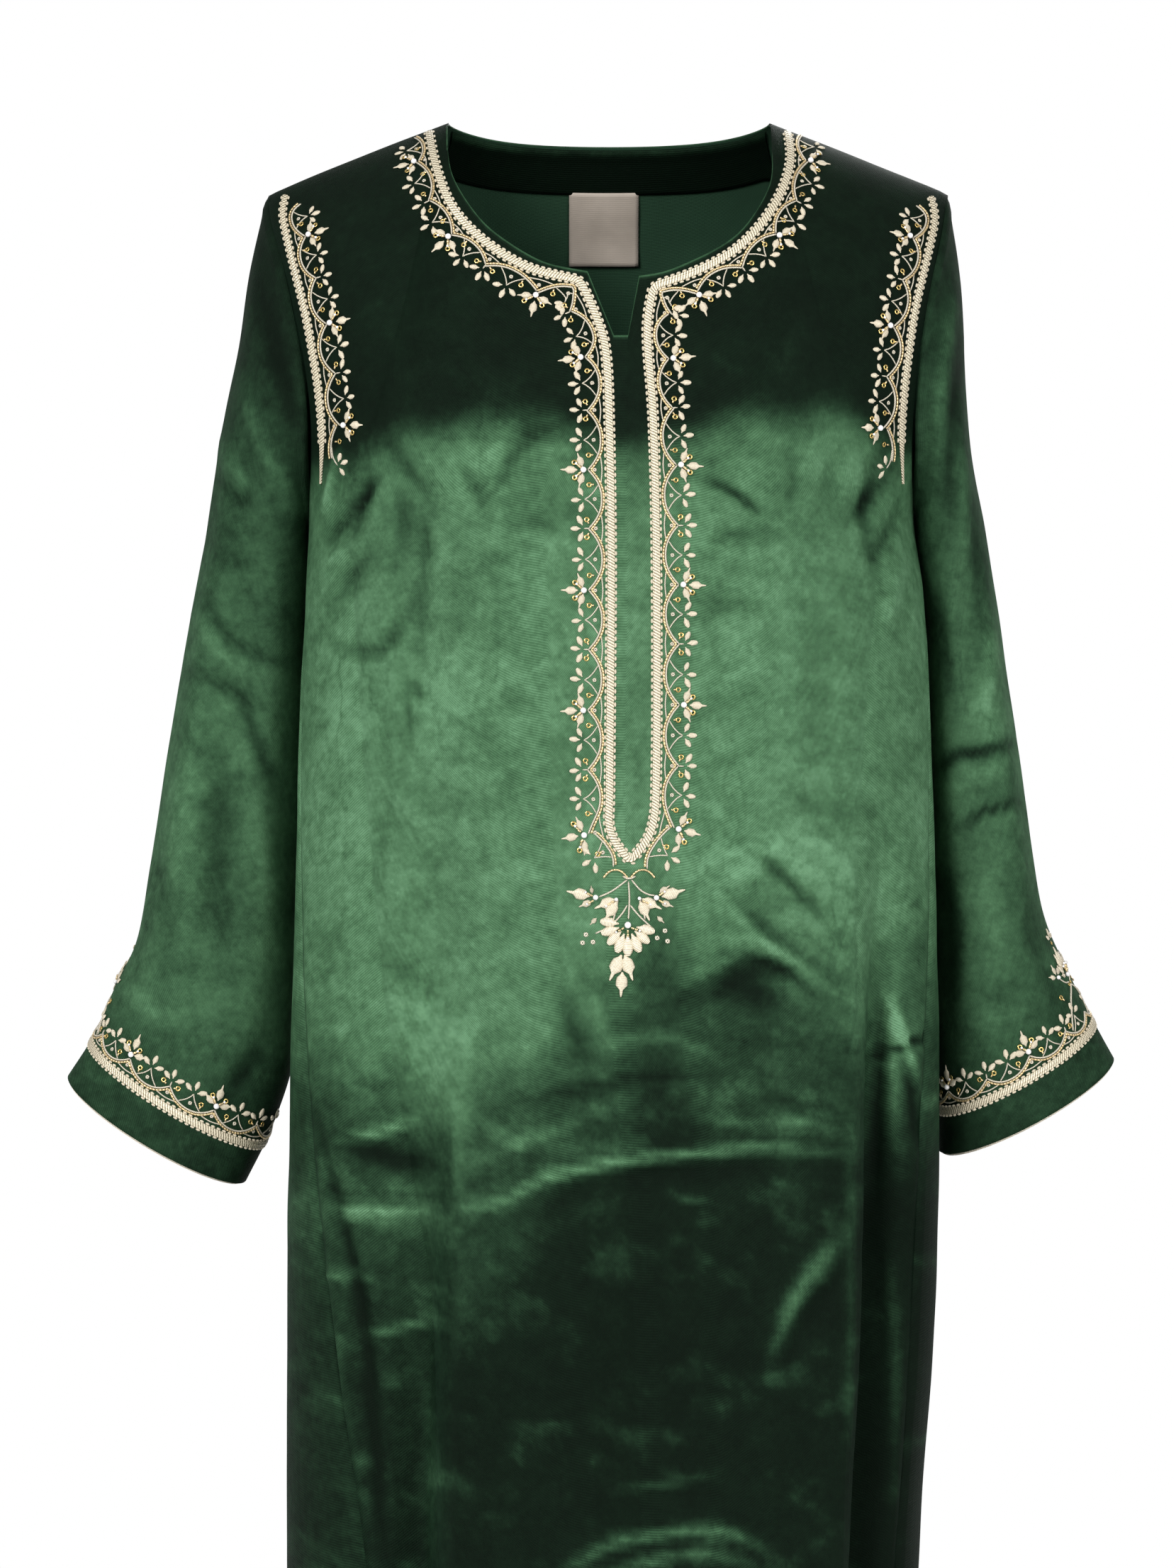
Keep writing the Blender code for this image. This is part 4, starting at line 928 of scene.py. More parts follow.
def make_velvet(name):
    material, shader = new_material(name, 0.62)
    place = add_node(material, "ShaderNodeUVMap", uv_map="cloth").outputs["UV"]
    spot = add_node(material, "ShaderNodeTexCoord").outputs["Object"]
    # The colour is picked by painted light and shade carried on the cloth, with lighter crushed patches of
    # pile
    painted_light_and_crush = add_node(material, "ShaderNodeAttribute", attribute_name="painted_light_and_crush").outputs["Fac"]
    patches = noise(material, spot, 9.0, 3.0, None, 0.55)
    crushed = noise(material, spot, 34.0, 5.0, (1.0, 1.0, 1.4), 0.66)
    streaks = noise(material, place, 30.0, 3.0, (1.0, 5.0, 1.0), 0.6)
    mottle = noise(material, spot, 150.0, 3.0, None, 0.68)
    # Thin wavy lines of this noise get painted shade over some patches and painted light over others, as on
    # small creases
    small_crease_noise = noise(material, spot, 21.0, 4.0, (1.3, 1.0, 0.8), 0.6)
    ridge = math_step(material, "ABSOLUTE", centred(material, small_crease_noise))
    ridge = math_step(material, "SUBTRACT", 1.0, math_step(material, "MULTIPLY", ridge, 26.0))
    ridge = math_step(material, "MAXIMUM", ridge, 0.0)
    ribs = bands(material, place, RIB_PITCH, "Y", 1.2, 1.0, 0.4)
    pile = noise(material, spot, 1500.0, 2.0, None, 0.6)
    uneven = math_step(material, "MULTIPLY", centred(material, patches), 0.46)
    uneven = math_step(material, "MULTIPLY_ADD", centred(material, crushed), 0.52, uneven)
    uneven = math_step(material, "MULTIPLY_ADD", centred(material, mottle), 0.40, uneven)
    uneven = math_step(material, "MULTIPLY_ADD", centred(material, streaks), 0.14, uneven)
    shade = math_step(material, "MULTIPLY", ridge, math_step(material, "SUBTRACT", patches, 0.44))
    uneven = math_step(material, "MULTIPLY_ADD", shade, -0.45, uneven)
    strength = math_step(material, "MULTIPLY_ADD", painted_light_and_crush, 1.1, 0.34)
    tone = math_step(material, "MULTIPLY_ADD", uneven, strength, painted_light_and_crush)
    rib_depth = math_step(material, "MULTIPLY", centred(material, ribs), 0.15)
    tone = math_step(material, "MULTIPLY_ADD", rib_depth, strength, tone)
    tone = math_step(material, "MULTIPLY_ADD", centred(material, pile), 0.08, tone)
    link(material, colour_ramp(material, tone, VELVET_TONES), shader.inputs["Base Color"])
    height = math_step(material, "MULTIPLY_ADD", ribs, 0.35, pile)
    height = math_step(material, "MULTIPLY_ADD", crushed, 1.2, height)
    relief(material, shader, height, 0.5, 0.0012)
    shader.inputs["Sheen Weight"].default_value = 0.02
    shader.inputs["Sheen Roughness"].default_value = 0.30
    shader.inputs["Sheen Tint"].default_value = (0.25, 0.62, 0.38, 1.0)
    shader.inputs["Specular IOR Level"].default_value = 0.05
    return material


velvet = make_velvet("silk_velvet")
print("velvet tones", len(VELVET_TONES))

# %% [markdown]
# ## The wrong side
# Inside, velvet shows its ground cloth: matt, paler and lined by the fine weft. It shows at the back of
# the neck and where one looks up into the hem.

# %% Wrong side
def make_ground_cloth(name):
    material, shader = new_material(name, 0.9)
    place = add_node(material, "ShaderNodeUVMap", uv_map="cloth").outputs["UV"]
    lines = bands(material, place, 0.0011, "Y", 0.8)
    threads = math_step(material, "MULTIPLY", bands(material, place, 0.0007, "X", 0.6), 0.3)
    mottled = noise(material, place, 22.0, 3.0)
    weave = math_step(material, "MULTIPLY_ADD", lines, 0.7, threads)
    tone = math_step(material, "MULTIPLY_ADD", centred(material, mottled), 0.7, weave)
    stops = ((0.0, (0.0105, 0.034, 0.0175)), (0.5, (0.0185, 0.054, 0.0285)), (1.0, (0.0285, 0.078, 0.042)))
    link(material, colour_ramp(material, tone, stops), shader.inputs["Base Color"])
    relief(material, shader, weave, 0.5, 0.0003)
    shader.inputs["Specular IOR Level"].default_value = 0.2
    return material


ground_cloth = make_ground_cloth("velvet_wrong_side")

# %% [markdown]
# ## The front and the back
# The seams are pulled in a little and creases are laid on.

# %% Front and back panels
SEAM_DIP, SEAM_REACH = 0.0012, 0.004
# Reach of the painted highlight along the neck edge
NECK_HIGHLIGHT_REACH = 0.0016


# Painted light by height on the strips beyond the side folds
RIGHT_SIDE_PAINTED_LIGHT = curves(
    ("height", "painted_light_and_crush"),
    ((-0.55, 0.60), (-0.62, 0.44), (-0.66, 0.30), (-0.69, 0.32), (-0.71, 0.36), (-0.74, 0.26), (-0.80, 0.18),
     (-0.90, 0.14), (-1.40, 0.12)),
)


def edge_dip(grid):
    """A shallow valley beside the seams that run down both sides of a panel."""
    length = np.linalg.norm(np.diff(grid, axis=1), axis=-1)
    from_right = np.concatenate([np.zeros((len(grid), 1)), np.cumsum(length, axis=1)], axis=1)
    from_left = from_right[:, -1:] - from_right
    near = np.minimum(from_right, from_left)
    return -SEAM_DIP * np.exp(-((near / SEAM_REACH) ** 2))


def front_light_and_crush(x, z):
    # Painted light and shade: the yoke in shade, the chest and waist lit, the lower skirt in shade with lit
    # strips beyond the side folds, and lighter crushed patches of pile
    ripple = 0.006 * np.sin(31 * x + 0.8) + 0.005 * np.sin(67 * x + 11 * z) + 0.004 * np.sin(113 * x - 2.0)
    chest = read(CHEST_EDGE, "height", x) + 0.205
    waist = read(WAIST_EDGE, "height", x) + 0.600 + 3 * ripple
    at_waist = ease((-z - 0.40) / 0.12)
    painted_light_and_crush = read(PAINTED_LIGHT_BY_HEIGHT, "painted_light_and_crush", z - (chest + 0.5 * ripple) * (1 - at_waist) - waist * at_waist)
    side = ease((-0.095 - x) / 0.006) * ease((-0.60 - z) / 0.08)
    lit = read(RIGHT_SIDE_PAINTED_LIGHT, "painted_light_and_crush", z) + 0.5 * (-0.15 - x) * ease((-z - 0.6) / 0.1)
    painted_light_and_crush = painted_light_and_crush + (lit - painted_light_and_crush) * side
    side = ease((x - 0.157) / 0.006) * ease((-0.50 - z) / 0.08)
    lit = 0.46 - 0.43 * ease((-0.58 - z) / 0.14) + 0.03 * np.sin(23 * z + 1)
    return painted_light_and_crush + (lit - painted_light_and_crush) * side + crushed_patches(x, z, 3.0) * (1 - 0.7 * side)


def crushed_patches(x, z, seed):
    """Light patches where the pile of the lower skirt is crushed."""
    broad = unevenness(2.4 * x, 3.6 * z, seed)
    fine = unevenness(7.0 * x, 10.0 * z, seed + 2.0)
    patch = np.clip(broad + 0.7 * fine - 0.15, 0.0, 1.0)
    return 0.26 * patch * ease((-0.50 - z) / 0.12)


def back_light_and_crush(x, z):
    # Painted light and shade by height as on the front, a lit strip on one side, and lighter crushed patches
    # of pile
    warp = 0.020 * np.sin(10 * x + 2.2) + 0.012 * np.sin(25 * x + 1.4) + 0.010 * np.sin(37 * x - 6 * z)
    painted_light_and_crush = read(PAINTED_LIGHT_BY_HEIGHT, "painted_light_and_crush", z + warp * np.clip((-z - 0.1) / 0.3, 0.15, 1.0))
    side = ease((-0.135 - x) / 0.02) * ease((-0.60 - z) / 0.08)
    painted_light_and_crush = painted_light_and_crush + (read(RIGHT_SIDE_PAINTED_LIGHT, "painted_light_and_crush", z) + 0.04 - painted_light_and_crush) * side
    return painted_light_and_crush + 0.06 * np.sin(14 * x + 2) * ease((-0.6 - z) / 0.2) + crushed_patches(x, z, 5.0)


def lay_panel(node, grid, flip, creases, tone_at, seed):
    normal = grid_normals(grid, False, flip)
    x, z = grid[..., 0], grid[..., 2]
    out, painted_crease_light = crease_map(creases, x, z)
    across, down = cloth_coordinates(grid)
    out += 0.0008 * unevenness(across, -down, seed) + edge_dip(grid)
    painted_light_and_crush = tone_at(x, z) + painted_crease_light
    # A painted highlight along the rolled edge of the neck
    neck_edge_highlight = np.exp(-((down / NECK_HIGHLIGHT_REACH) ** 2)) * (np.abs(x) < NECK_HALF)
    painted_light_and_crush = np.where(down < 0.004, painted_light_and_crush + 0.42 * neck_edge_highlight, painted_light_and_crush)
    hold = np.clip(down / 0.006, 0.0, 1.0) * 0.7 + 0.3
    laid = grid + normal * (out * hold)[..., None]
    piece = make_sheet(node + "_velvet", laid, False, flip, painted_light_and_crush, (velvet, ground_cloth))
    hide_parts(node)
    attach(piece, "root")
    print(node, "triangles", sum(len(p.vertices) - 2 for p in piece.data.polygons))
    return laid


front_laid = lay_panel("front", front_grid, 1, FRONT_CREASES, front_light_and_crush, 1.0)
back_laid = lay_panel("back", back_grid, -1, BACK_CREASES, back_light_and_crush, 4.0)

# %% [markdown]
# ## The sleeves
# Each sleeve is one panel joined into a tube. Its creases are drawn in the front view too, for the half
# that faces the front and for the half behind.

# %% Sleeves
SLEEVE_CREASES = {
    "right": (
        (((-250, -240), (-238, -250), (-230, -237)), 6, -1.8, -0.14),
        (((-264, -310), (-247, -338), (-224, -350), (-206, -356)), 6, -1.8, -0.20),
        (((-270, -322), (-250, -350), (-226, -361)), 7, 1.6, 0.12),
        (((-284, -358), (-258, -366), (-237, -378), (-217, -386)), 6, -1.6, -0.18),
        (((-242, -373), (-224, -416), (-214, -438)), 7, -1.6, -0.22),
        (((-250, -420), (-254, -476), (-249, -545)), 13, -1.8, -0.18),
        (((-272, -400), (-278, -460), (-276, -540)), 15, 1.6, 0.10),
        (((-240, -169), (-219, -224), (-197, -266)), 8, 1.6, 0.16),
        (((-227, -108), (-215, -156), (-199, -211)), 9, -1.8, -0.16),
        (((-258, -200), (-244, -228), (-226, -250)), 8, 1.4, 0.12),
        (((-268, -268), (-250, -286), (-232, -292)), 8, -1.2, -0.08),
        (((-230, -440), (-222, -500), (-222, -560)), 12, 1.4, 0.10),
        (((-316, -566), (-296, -580), (-276, -586)), 8, 1.2, 0.12),
        (((-226, -600), (-238, -622), (-250, -640)), 9, -1.6, -0.20),
        (((-300, -470), (-288, -520), (-290, -560)), 10, -1.2, -0.06),
    ),
    "left": (
        (((213, -426), (224, -414), (243, -412), (268, -405)), 6, -2.2, -0.38),
        (((218, -440), (236, -430), (262, -424)), 7, 1.6, 0.10),
        (((228, -461), (243, -451), (256, -448), (272, -441)), 5, -1.6, -0.32),
        (((226, -108), (214, -169), (211, -228)), 7, 1.6, 0.14),
        (((231, -150), (222, -200), (220, -262)), 7, -1.8, -0.16),
        (((220, -192), (229, -256), (225, -312)), 8, 1.6, 0.12),
        (((236, -240), (240, -300), (238, -350)), 8, -1.4, -0.12),
        (((212, -300), (216, -350), (226, -392)), 8, -1.4, -0.16),
        (((250, -330), (246, -370), (232, -400)), 8, 1.4, 0.14),
        (((216, -480), (222, -530), (220, -580)), 11, -1.8, -0.20),
        (((246, -480), (250, -530), (246, -570)), 12, 1.4, 0.10),
        (((270, -500), (280, -545), (296, -580)), 9, -1.2, -0.08),
        (((236, -590), (256, -584), (280, -580)), 7, 1.2, 0.10),
    ),
}
SLEEVE_BACK_CREASES = {
    "right": (
        (((-246, -230), (-228, -246), (-212, -250)), 7, -1.8, -0.16),
        (((-276, -340), (-250, -356), (-222, -362)), 7, -1.8, -0.18),
        (((-282, -400), (-256, -408), (-226, -402)), 6, 1.6, 0.14),
        (((-240, -430), (-246, -490), (-242, -550)), 12, -1.8, -0.24),
        (((-270, -430), (-280, -500), (-286, -560)), 12, 1.4, 0.12),
    ),
    "left": (
        (((214, -236), (226, -252), (240, -258)), 7, -1.8, -0.16),
        (((212, -330), (232, -346), (256, -348)), 7, 1.6, 0.14),
        (((214, -396), (240, -404), (268, -396)), 6, -1.8, -0.28),
        (((238, -430), (242, -490), (244, -550)), 12, -1.6, -0.20),
        (((262, -450), (270, -510), (284, -560)), 12, 1.4, 0.12),
    ),
}
# Painted light and shade down each sleeve
SLEEVE_PAINTED_LIGHT = {
    "right": curves(
        ("height", "painted_light_and_crush"),
        ((0.0, 0.08), (-0.08, 0.09), (-0.14, 0.16), (-0.19, 0.27), (-0.26, 0.44), (-0.34, 0.55),
         (-0.42, 0.57), (-0.50, 0.58), (-0.57, 0.56), (-0.63, 0.36), (-0.70, 0.28)),
    ),
    "left": curves(
        ("height", "painted_light_and_crush"),
        ((0.0, 0.10), (-0.08, 0.18), (-0.14, 0.28), (-0.20, 0.34), (-0.26, 0.42), (-0.34, 0.54),
         (-0.42, 0.58), (-0.50, 0.50), (-0.57, 0.43), (-0.61, 0.32), (-0.69, 0.30)),
    ),
}


# Under the arm the sleeve is full enough to rest against the body: how far, at what height, how tall
ARMPIT_FULL, ARMPIT_HEIGHT, ARMPIT_TALL = 0.0078, -0.275, 0.042


def lay_sleeve(hand, flip, seed):
    grid = sleeve_grids[hand]
    normal = grid_normals(grid, True, flip)
    x, z = grid[..., 0], grid[..., 2]
    count = grid.shape[1]
    around = 2 * np.pi * np.arange(count) / count
    facing_front = (around > 0) & (around < np.pi)
    out_front, light_front = crease_map(SLEEVE_CREASES[hand], x, z)
    out_back, light_back = crease_map(SLEEVE_BACK_CREASES[hand], x, z)
    side_fade = np.clip(np.abs(np.sin(around)) * 2.5, 0, 1)[None]
    out = np.where(facing_front[None], out_front, out_back) * side_fade
    painted_crease_light = np.where(facing_front[None], light_front, light_back) * side_fade
    down = cloth_coordinates(grid)[1]
    swell = unevenness(0.16 * np.sin(around)[None] + 0 * down, -down + 0.1 * np.cos(around)[None], seed)
    out += 0.0008 * swell - SEAM_DIP * np.exp(-((down / SEAM_REACH) ** 2))
    out += 0.0009 * np.exp(-(((down - 0.008) / 0.005) ** 2))
    inner = np.clip(-np.cos(around), 0, 1)[None]
    out += ARMPIT_FULL * np.exp(-(((z - ARMPIT_HEIGHT) / ARMPIT_TALL) ** 2)) * inner**2
    painted_light_and_crush = read(SLEEVE_PAINTED_LIGHT[hand], "painted_light_and_crush", z + 0.02 * np.sin(31 * x + seed) + 0.012 * np.sin(60 * x)) + painted_crease_light
    # Painted shade towards the inner line of the sleeve, where it hangs against the body
    painted_light_and_crush = painted_light_and_crush - 0.16 * inner**3
    laid = grid + normal * out[..., None]
    piece = make_sheet("sleeve_" + hand + "_velvet", laid, True, flip, painted_light_and_crush, (velvet, ground_cloth))
    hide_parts("sleeve_" + hand)
    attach(piece, "root")
    print("sleeve", hand, "triangles", sum(len(p.vertices) - 2 for p in piece.data.polygons))
    return laid


sleeves_laid = {
    "right": lay_sleeve("right", 1, 2.0),
    "left": lay_sleeve("left", -1, 6.0),
}

# %% [markdown]
# ## Inside the neck
# A facing is a second strip of velvet sewn inside the back neck, and the woven label hangs from its seam.
# Both are thin sheets laid against the inside of the back. The label stays bare.

# %% Facing and label
FACING_HALF, FACING_DEPTH, FACING_DOWN, FACING_THICK = 0.1035, 0.027, 0.0012, 0.0008
LABEL_SIDE, LABEL_MIDDLE, LABEL_THICK, LABEL_STEPS = 0.047, -0.003, 0.0006, 19


def tree_of(grid):
    """A grid's surface, to seat other pieces on."""
    return BVHTree.FromPolygons(grid.reshape(-1, 3).tolist(), grid_faces(*grid.shape[:2], False).tolist())


back_tree = tree_of(back_laid)


def inside_back(x, height, lift):
    """A place on the inside of the back, lifted towards the wearer."""
    goal = Vector((x, float(torso_y(x, height, "back")), height))
    point, normal, _, _ = back_tree.find_nearest(goal)
    inward = normal if normal.y < 0 or normal.z < -0.5 else -normal
    return np.array(point + inward * lift)


def make_label_cloth():
    material, shader = new_material("label_satin", 0.5)
    place = add_node(material, "ShaderNodeUVMap", uv_map="cloth").outputs["UV"]
    warp = bands(material, place, 0.0008, "Y", 0.7)
    weft = bands(material, place, 0.0006, "X")
    soft = noise(material, place, 45.0, 2.0)
    weave = math_step(material, "MULTIPLY_ADD", weft, 0.35, warp)
    tone = math_step(material, "MULTIPLY_ADD", soft, 0.9, math_step(material, "MULTIPLY", weave, 0.4))
    stops = ((0.15, (0.32, 0.27, 0.225)), (0.6, (0.43, 0.37, 0.31)), (1.0, (0.52, 0.45, 0.38)))
    link(material, colour_ramp(material, tone, stops), shader.inputs["Base Color"])
    relief(material, shader, weave, 0.35, 0.0002)
    shader.inputs["Sheen Weight"].default_value = 0.2
    return material


label_satin = make_label_cloth()
rows = []
for depth in np.linspace(0, 1, 13):
    xs = -(FACING_HALF + 0.008 * depth) * np.cos(np.pi * np.arange(61) / 60)
    heights = back_neck_curve(np.clip(xs, -FACING_HALF, FACING_HALF)) - FACING_DOWN - FACING_DEPTH * depth
    roll = 0.0011 + 0.0007 * math.exp(-(((depth - 0.14) / 0.06) ** 2))
    rows.append([inside_back(x, h, CLOTH_THICK + roll) for x, h in zip(xs, heights)])
facing_grid = np.array(rows)
# The facing is painted in shade, with painted light on its two top rows where the edge rolls over
facing_painted_light = np.zeros(facing_grid.shape[:2])
facing_painted_light[:2] = 0.16
neck_facing = make_sheet(
    "neck_facing_velvet", facing_grid, False, 1, facing_painted_light, (velvet, ground_cloth), FACING_THICK
)
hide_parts("neck_facing")
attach(neck_facing, "root")

label_top = BACK_NECK_HEIGHT - FACING_DOWN - FACING_DEPTH + 0.0015
label_xs = LABEL_MIDDLE + LABEL_SIDE * (np.linspace(0, 1, LABEL_STEPS) - 0.5)
label_edge = 0.0006 * np.abs(np.linspace(-1, 1, LABEL_STEPS)) ** 6
rows = []
for depth in np.linspace(0, 1, LABEL_STEPS):
    lift = CLOTH_THICK + (0.0008 + 0.0016 * depth + 0.0005 * math.sin(7 * depth))
    height = label_top - LABEL_SIDE * depth
    rows.append([inside_back(x, height, lift - e) for x, e in zip(label_xs, label_edge)])
label_grid = np.array(rows)
label_painted_light = np.ones(label_grid.shape[:2])
label = make_sheet("label_cloth", label_grid, False, -1, label_painted_light, (label_satin, label_satin), LABEL_THICK)
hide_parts("label")
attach(label, "root")
print("facing and label laid")

# %% [markdown]
# ## Places for needlework
# Embroidery is drawn beside a line: s is how far along the line a stitch lies and t is how far from it,
# both in metres. Each place is then found on the cloth, with the cloth's own outward direction, so that
# every bead and petal lies flat on the curved velvet.

# %% Places on the front and round a cuff
class FrontPlaces:
    """Places on the front by their place in the front view."""

    tree = tree_of(front_laid)

    def seat(self, x, z):
        point, normal, _, _ = self.tree.ray_cast(Vector((x, -1.0, z)), Vector((0.0, 1.0, 0.0)))
        if point is None:
            point, normal, _, _ = self.tree.find_nearest(Vector((x, -0.02, z)))
        if normal.y - 0.3 * normal.z > 0:
            normal = -normal
        return np.array(point), np.array(normal)


class BesideLine(FrontPlaces):
    """Places beside a line on the front: s along it and t away from it, in metres."""

    def __init__(self, tables, away):
        self.line = np.vstack([smooth_line(table, 30 * len(table)) for table in tables])
        self.run = run_along(self.line)
        self.length, self.away = self.run[-1], away

    def point(self, s):
        beyond = s - min(max(s, 0.0), self.length)
        inside = s - beyond
        return np.array([np.interp(inside, self.run, self.line[:, i]) for i in (0, 1)]), beyond

    def seat(self, s, t):
        here, beyond = self.point(s)
        step = self.point(min(s + 0.004, self.length))[0] - self.point(max(s - 0.004, 0.0))[0]
        step /= np.linalg.norm(step)
        x, z = here + step * beyond + np.array([step[1], -step[0]]) * self.away * t
        return FrontPlaces.seat(self, x, z)


class RoundCuff:
    """Places round a cuff: s from the outer line by the front, and t up from the braid, in metres."""

    def __init__(self, laid, braid_up):
        self.grid = laid[::-1][:60]
        self.braid_up = braid_up
        steps = np.linalg.norm(np.diff(self.grid, axis=0), axis=-1)
        self.rise = np.concatenate([np.zeros((1, laid.shape[1])), np.cumsum(steps, axis=0)])
        ring = np.array([self.on_column(k, braid_up) for k in range(laid.shape[1])])
        ring = np.vstack([ring, ring[:1]])
        self.run = run_along(ring)
        self.length = self.run[-1]
        self.middle = ring[:-1].mean(axis=0)

    def on_column(self, column, up):
        row = np.interp(up, self.rise[:, column], np.arange(len(self.grid)))
        low = min(int(row), len(self.grid) - 2)
        return self.grid[low, column] * (1 - (row - low)) + self.grid[low + 1, column] * (row - low)

    def place(self, s, t):
        column = np.interp(s % self.length, self.run, np.arange(len(self.run)))
        low = int(column)
        count, up = self.grid.shape[1], self.braid_up + t
        first, second = self.on_column(low % count, up), self.on_column((low + 1) % count, up)
        return first * (1 - (column - low)) + second * (column - low)

    def seat(self, s, t):
        point = self.place(s, t)
        along = self.place(s + 0.003, t) - self.place(s - 0.003, t)
        up = self.place(s, t + 0.003) - self.place(s, t - 0.003)
        normal = np.cross(along, up)
        normal /= np.linalg.norm(normal)
        return point, normal if normal @ (point - self.middle) > 0 else -normal


def frame_at(places, s, t, angle):
    """A place, and the directions away from the line, across and outwards there."""
    point, normal = places.seat(s, t)
    along = places.seat(s + 0.0012, t)[0] - places.seat(s - 0.0012, t)[0]
    away = places.seat(s, t + 0.0012)[0] - places.seat(s, t - 0.0012)[0]
    forward = away / np.linalg.norm(away) * math.cos(angle) + along / np.linalg.norm(along) * math.sin(angle)
    forward -= normal * (forward @ normal)
    forward /= np.linalg.norm(forward)
    return point, np.stack([forward, np.cross(normal, forward), normal], axis=1)


# %% [markdown]
# ## Metal thread, gold, satin stitch and pearl
# The cords are thread wound round a core, so their material has slanting bands that run round them. Petals
# are padded satin stitch: fine threads side by side, soft and slightly shiny.

# %% Needlework materials
def make_thread(name, dark, light, pitch, slant, metallic, roughness, gap=0.45):
    material, shader = new_material(name, roughness, metallic)
    place = add_node(material, "ShaderNodeUVMap", uv_map="cloth").outputs["UV"]
    turned = add_node(material, "ShaderNodeMapping")
    turned.inputs["Rotation"].default_value = (0.0, 0.0, math.radians(slant))
    link(material, place, turned.inputs["Vector"])
    wound = bands(material, turned.outputs["Vector"], pitch, "Y", 0.9)
    glint = noise(material, place, 900.0, 2.0)
    tone = math_step(material, "MULTIPLY_ADD", centred(material, glint), 0.9, wound)
    stops = ((0.0, dark), (gap, light), (1.0, tuple(min(1, 1.25 * c) for c in light)))
    link(material, colour_ramp(material, tone, stops), shader.inputs["Base Color"])
    relief(material, shader, wound, 0.8, 0.0003)
    return material


silver_cord = make_thread("silver_cord", (0.28, 0.25, 0.18), (0.70, 0.64, 0.52), 0.0009, 35.0, 0.25, 0.40)
braid_thread = make_thread(
    "braid_thread", (0.20, 0.165, 0.10), (0.68, 0.61, 0.46), 0.0017, 24.0, 0.20, 0.38, 0.62
)
satin_stitch = make_thread("satin_stitch", (0.46, 0.38, 0.26), (0.80, 0.72, 0.56), 0.0005, 90.0, 0.12, 0.42)


def make_gold(name, colour, roughness):
    material, shader = new_material(name, roughness, 0.85)
    spot = add_node(material, "ShaderNodeTexCoord").outputs["Object"]
    tarnish = noise(material, spot, 260.0, 2.0)
    stops = ((0.3, tuple(0.6 * c for c in colour)), (0.7, colour))
    link(material, colour_ramp(material, tarnish, stops), shader.inputs["Base Color"])
    return material


bugle_gold = make_gold("bugle_gold", (0.88, 0.68, 0.38), 0.32)
sequin_gold = make_gold("sequin_gold", (0.83, 0.60, 0.22), 0.18)


def make_pearl(name):
    material, shader = new_material(name, 0.22)
    spot = add_node(material, "ShaderNodeTexCoord").outputs["Object"]
    lustre = noise(material, spot, 320.0, 2.0)
    stops = ((0.3, (0.72, 0.70, 0.70)), (0.7, (0.90, 0.89, 0.88)))
    link(material, colour_ramp(material, lustre, stops), shader.inputs["Base Color"])
    shader.inputs["Coat Weight"].default_value = 0.6
    shader.inputs["Coat Roughness"].default_value = 0.12
    return material


pearl_white = make_pearl("pearl_white")

# %% [markdown]
# ## One of each stitch and bead
# Every petal, leaf, bead, sequin and picot is modelled once, from a ball, ring or tube that is narrowed,
# flattened and cut in edit mode. The tip of each points along X and the cloth lies under it.

# %% Units for stamping
def select_where(test):
    """Selects the points of the mesh in edit mode that pass a test on their place."""
    mesh = bmesh.from_edit_mesh(bpy.context.object.data)
    for vertex in mesh.verts:
        vertex.select = bool(test(vertex.co))
    mesh.select_flush(True)
    mesh.select_flush(False)
    bmesh.update_edit_mesh(bpy.context.object.data)


def take_unit(name):
    """The active object's mesh as a unit, with flat coordinates along X, and its object removed."""
    made = bpy.context.object
    bpy.ops.object.transform_apply(location=True, rotation=True, scale=True)
    bpy.ops.object.shade_smooth()
    mesh = made.data.copy()
    mesh.name = name
    bpy.data.objects.remove(made)
    print(name, "triangles", sum(len(p.vertices) - 2 for p in mesh.polygons))
    return mesh


def grown_ball(segments, rings, length, width, height):
    """A flattened ball whose poles lie along X, from X = 0 to its length."""
    bpy.ops.object.select_all(action="DESELECT")
    bpy.ops.mesh.primitive_uv_sphere_add(
        segments=segments, ring_count=rings, radius=1.0, location=(length / 2, 0, 0),
        rotation=(0, math.pi / 2, 0),
    )
    bpy.ops.object.transform_apply(location=False, rotation=True, scale=False)
    bpy.context.object.scale = (length / 2, width / 2, height)
    bpy.ops.object.transform_apply(location=True, rotation=False, scale=True)


def cut_below(depth):
    """Cuts off what lies deeper than a depth under the middle and closes the cut."""
    bpy.ops.object.mode_set(mode="EDIT")
    bpy.ops.mesh.select_all(action="SELECT")
    bpy.ops.mesh.bisect(plane_co=(0, 0, -depth), plane_no=(0, 0, 1), use_fill=True, clear_inner=True)
    bpy.ops.object.mode_set(mode="OBJECT")


def narrow(test, value, pivot):
    bpy.ops.object.mode_set(mode="EDIT")
    select_where(test)
    bpy.ops.transform.resize(value=value, center_override=pivot)
    bpy.ops.object.mode_set(mode="OBJECT")


units = {}
grown_ball(8, 7, 0.0066, 0.0034, 0.0010)
narrow(lambda co: co.x < 0.0018, (1.0, 0.45, 0.7), (0.0, 0.0, 0.0))
cut_below(0.0002)
units["petal"] = take_unit("petal")

grown_ball(10, 9, 0.0104, 0.0052, 0.0012)
narrow(lambda co: co.x > 0.0070, (1.25, 0.35, 0.6), (0.0070, 0.0, 0.0))
narrow(lambda co: co.x < 0.0020, (1.0, 0.5, 0.8), (0.0, 0.0, 0.0))
cut_below(0.0002)
units["leaf"] = take_unit("leaf")

grown_ball(8, 5, 0.0030, 0.0017, 0.0009)
cut_below(0.0003)
units["picot"] = take_unit("picot")

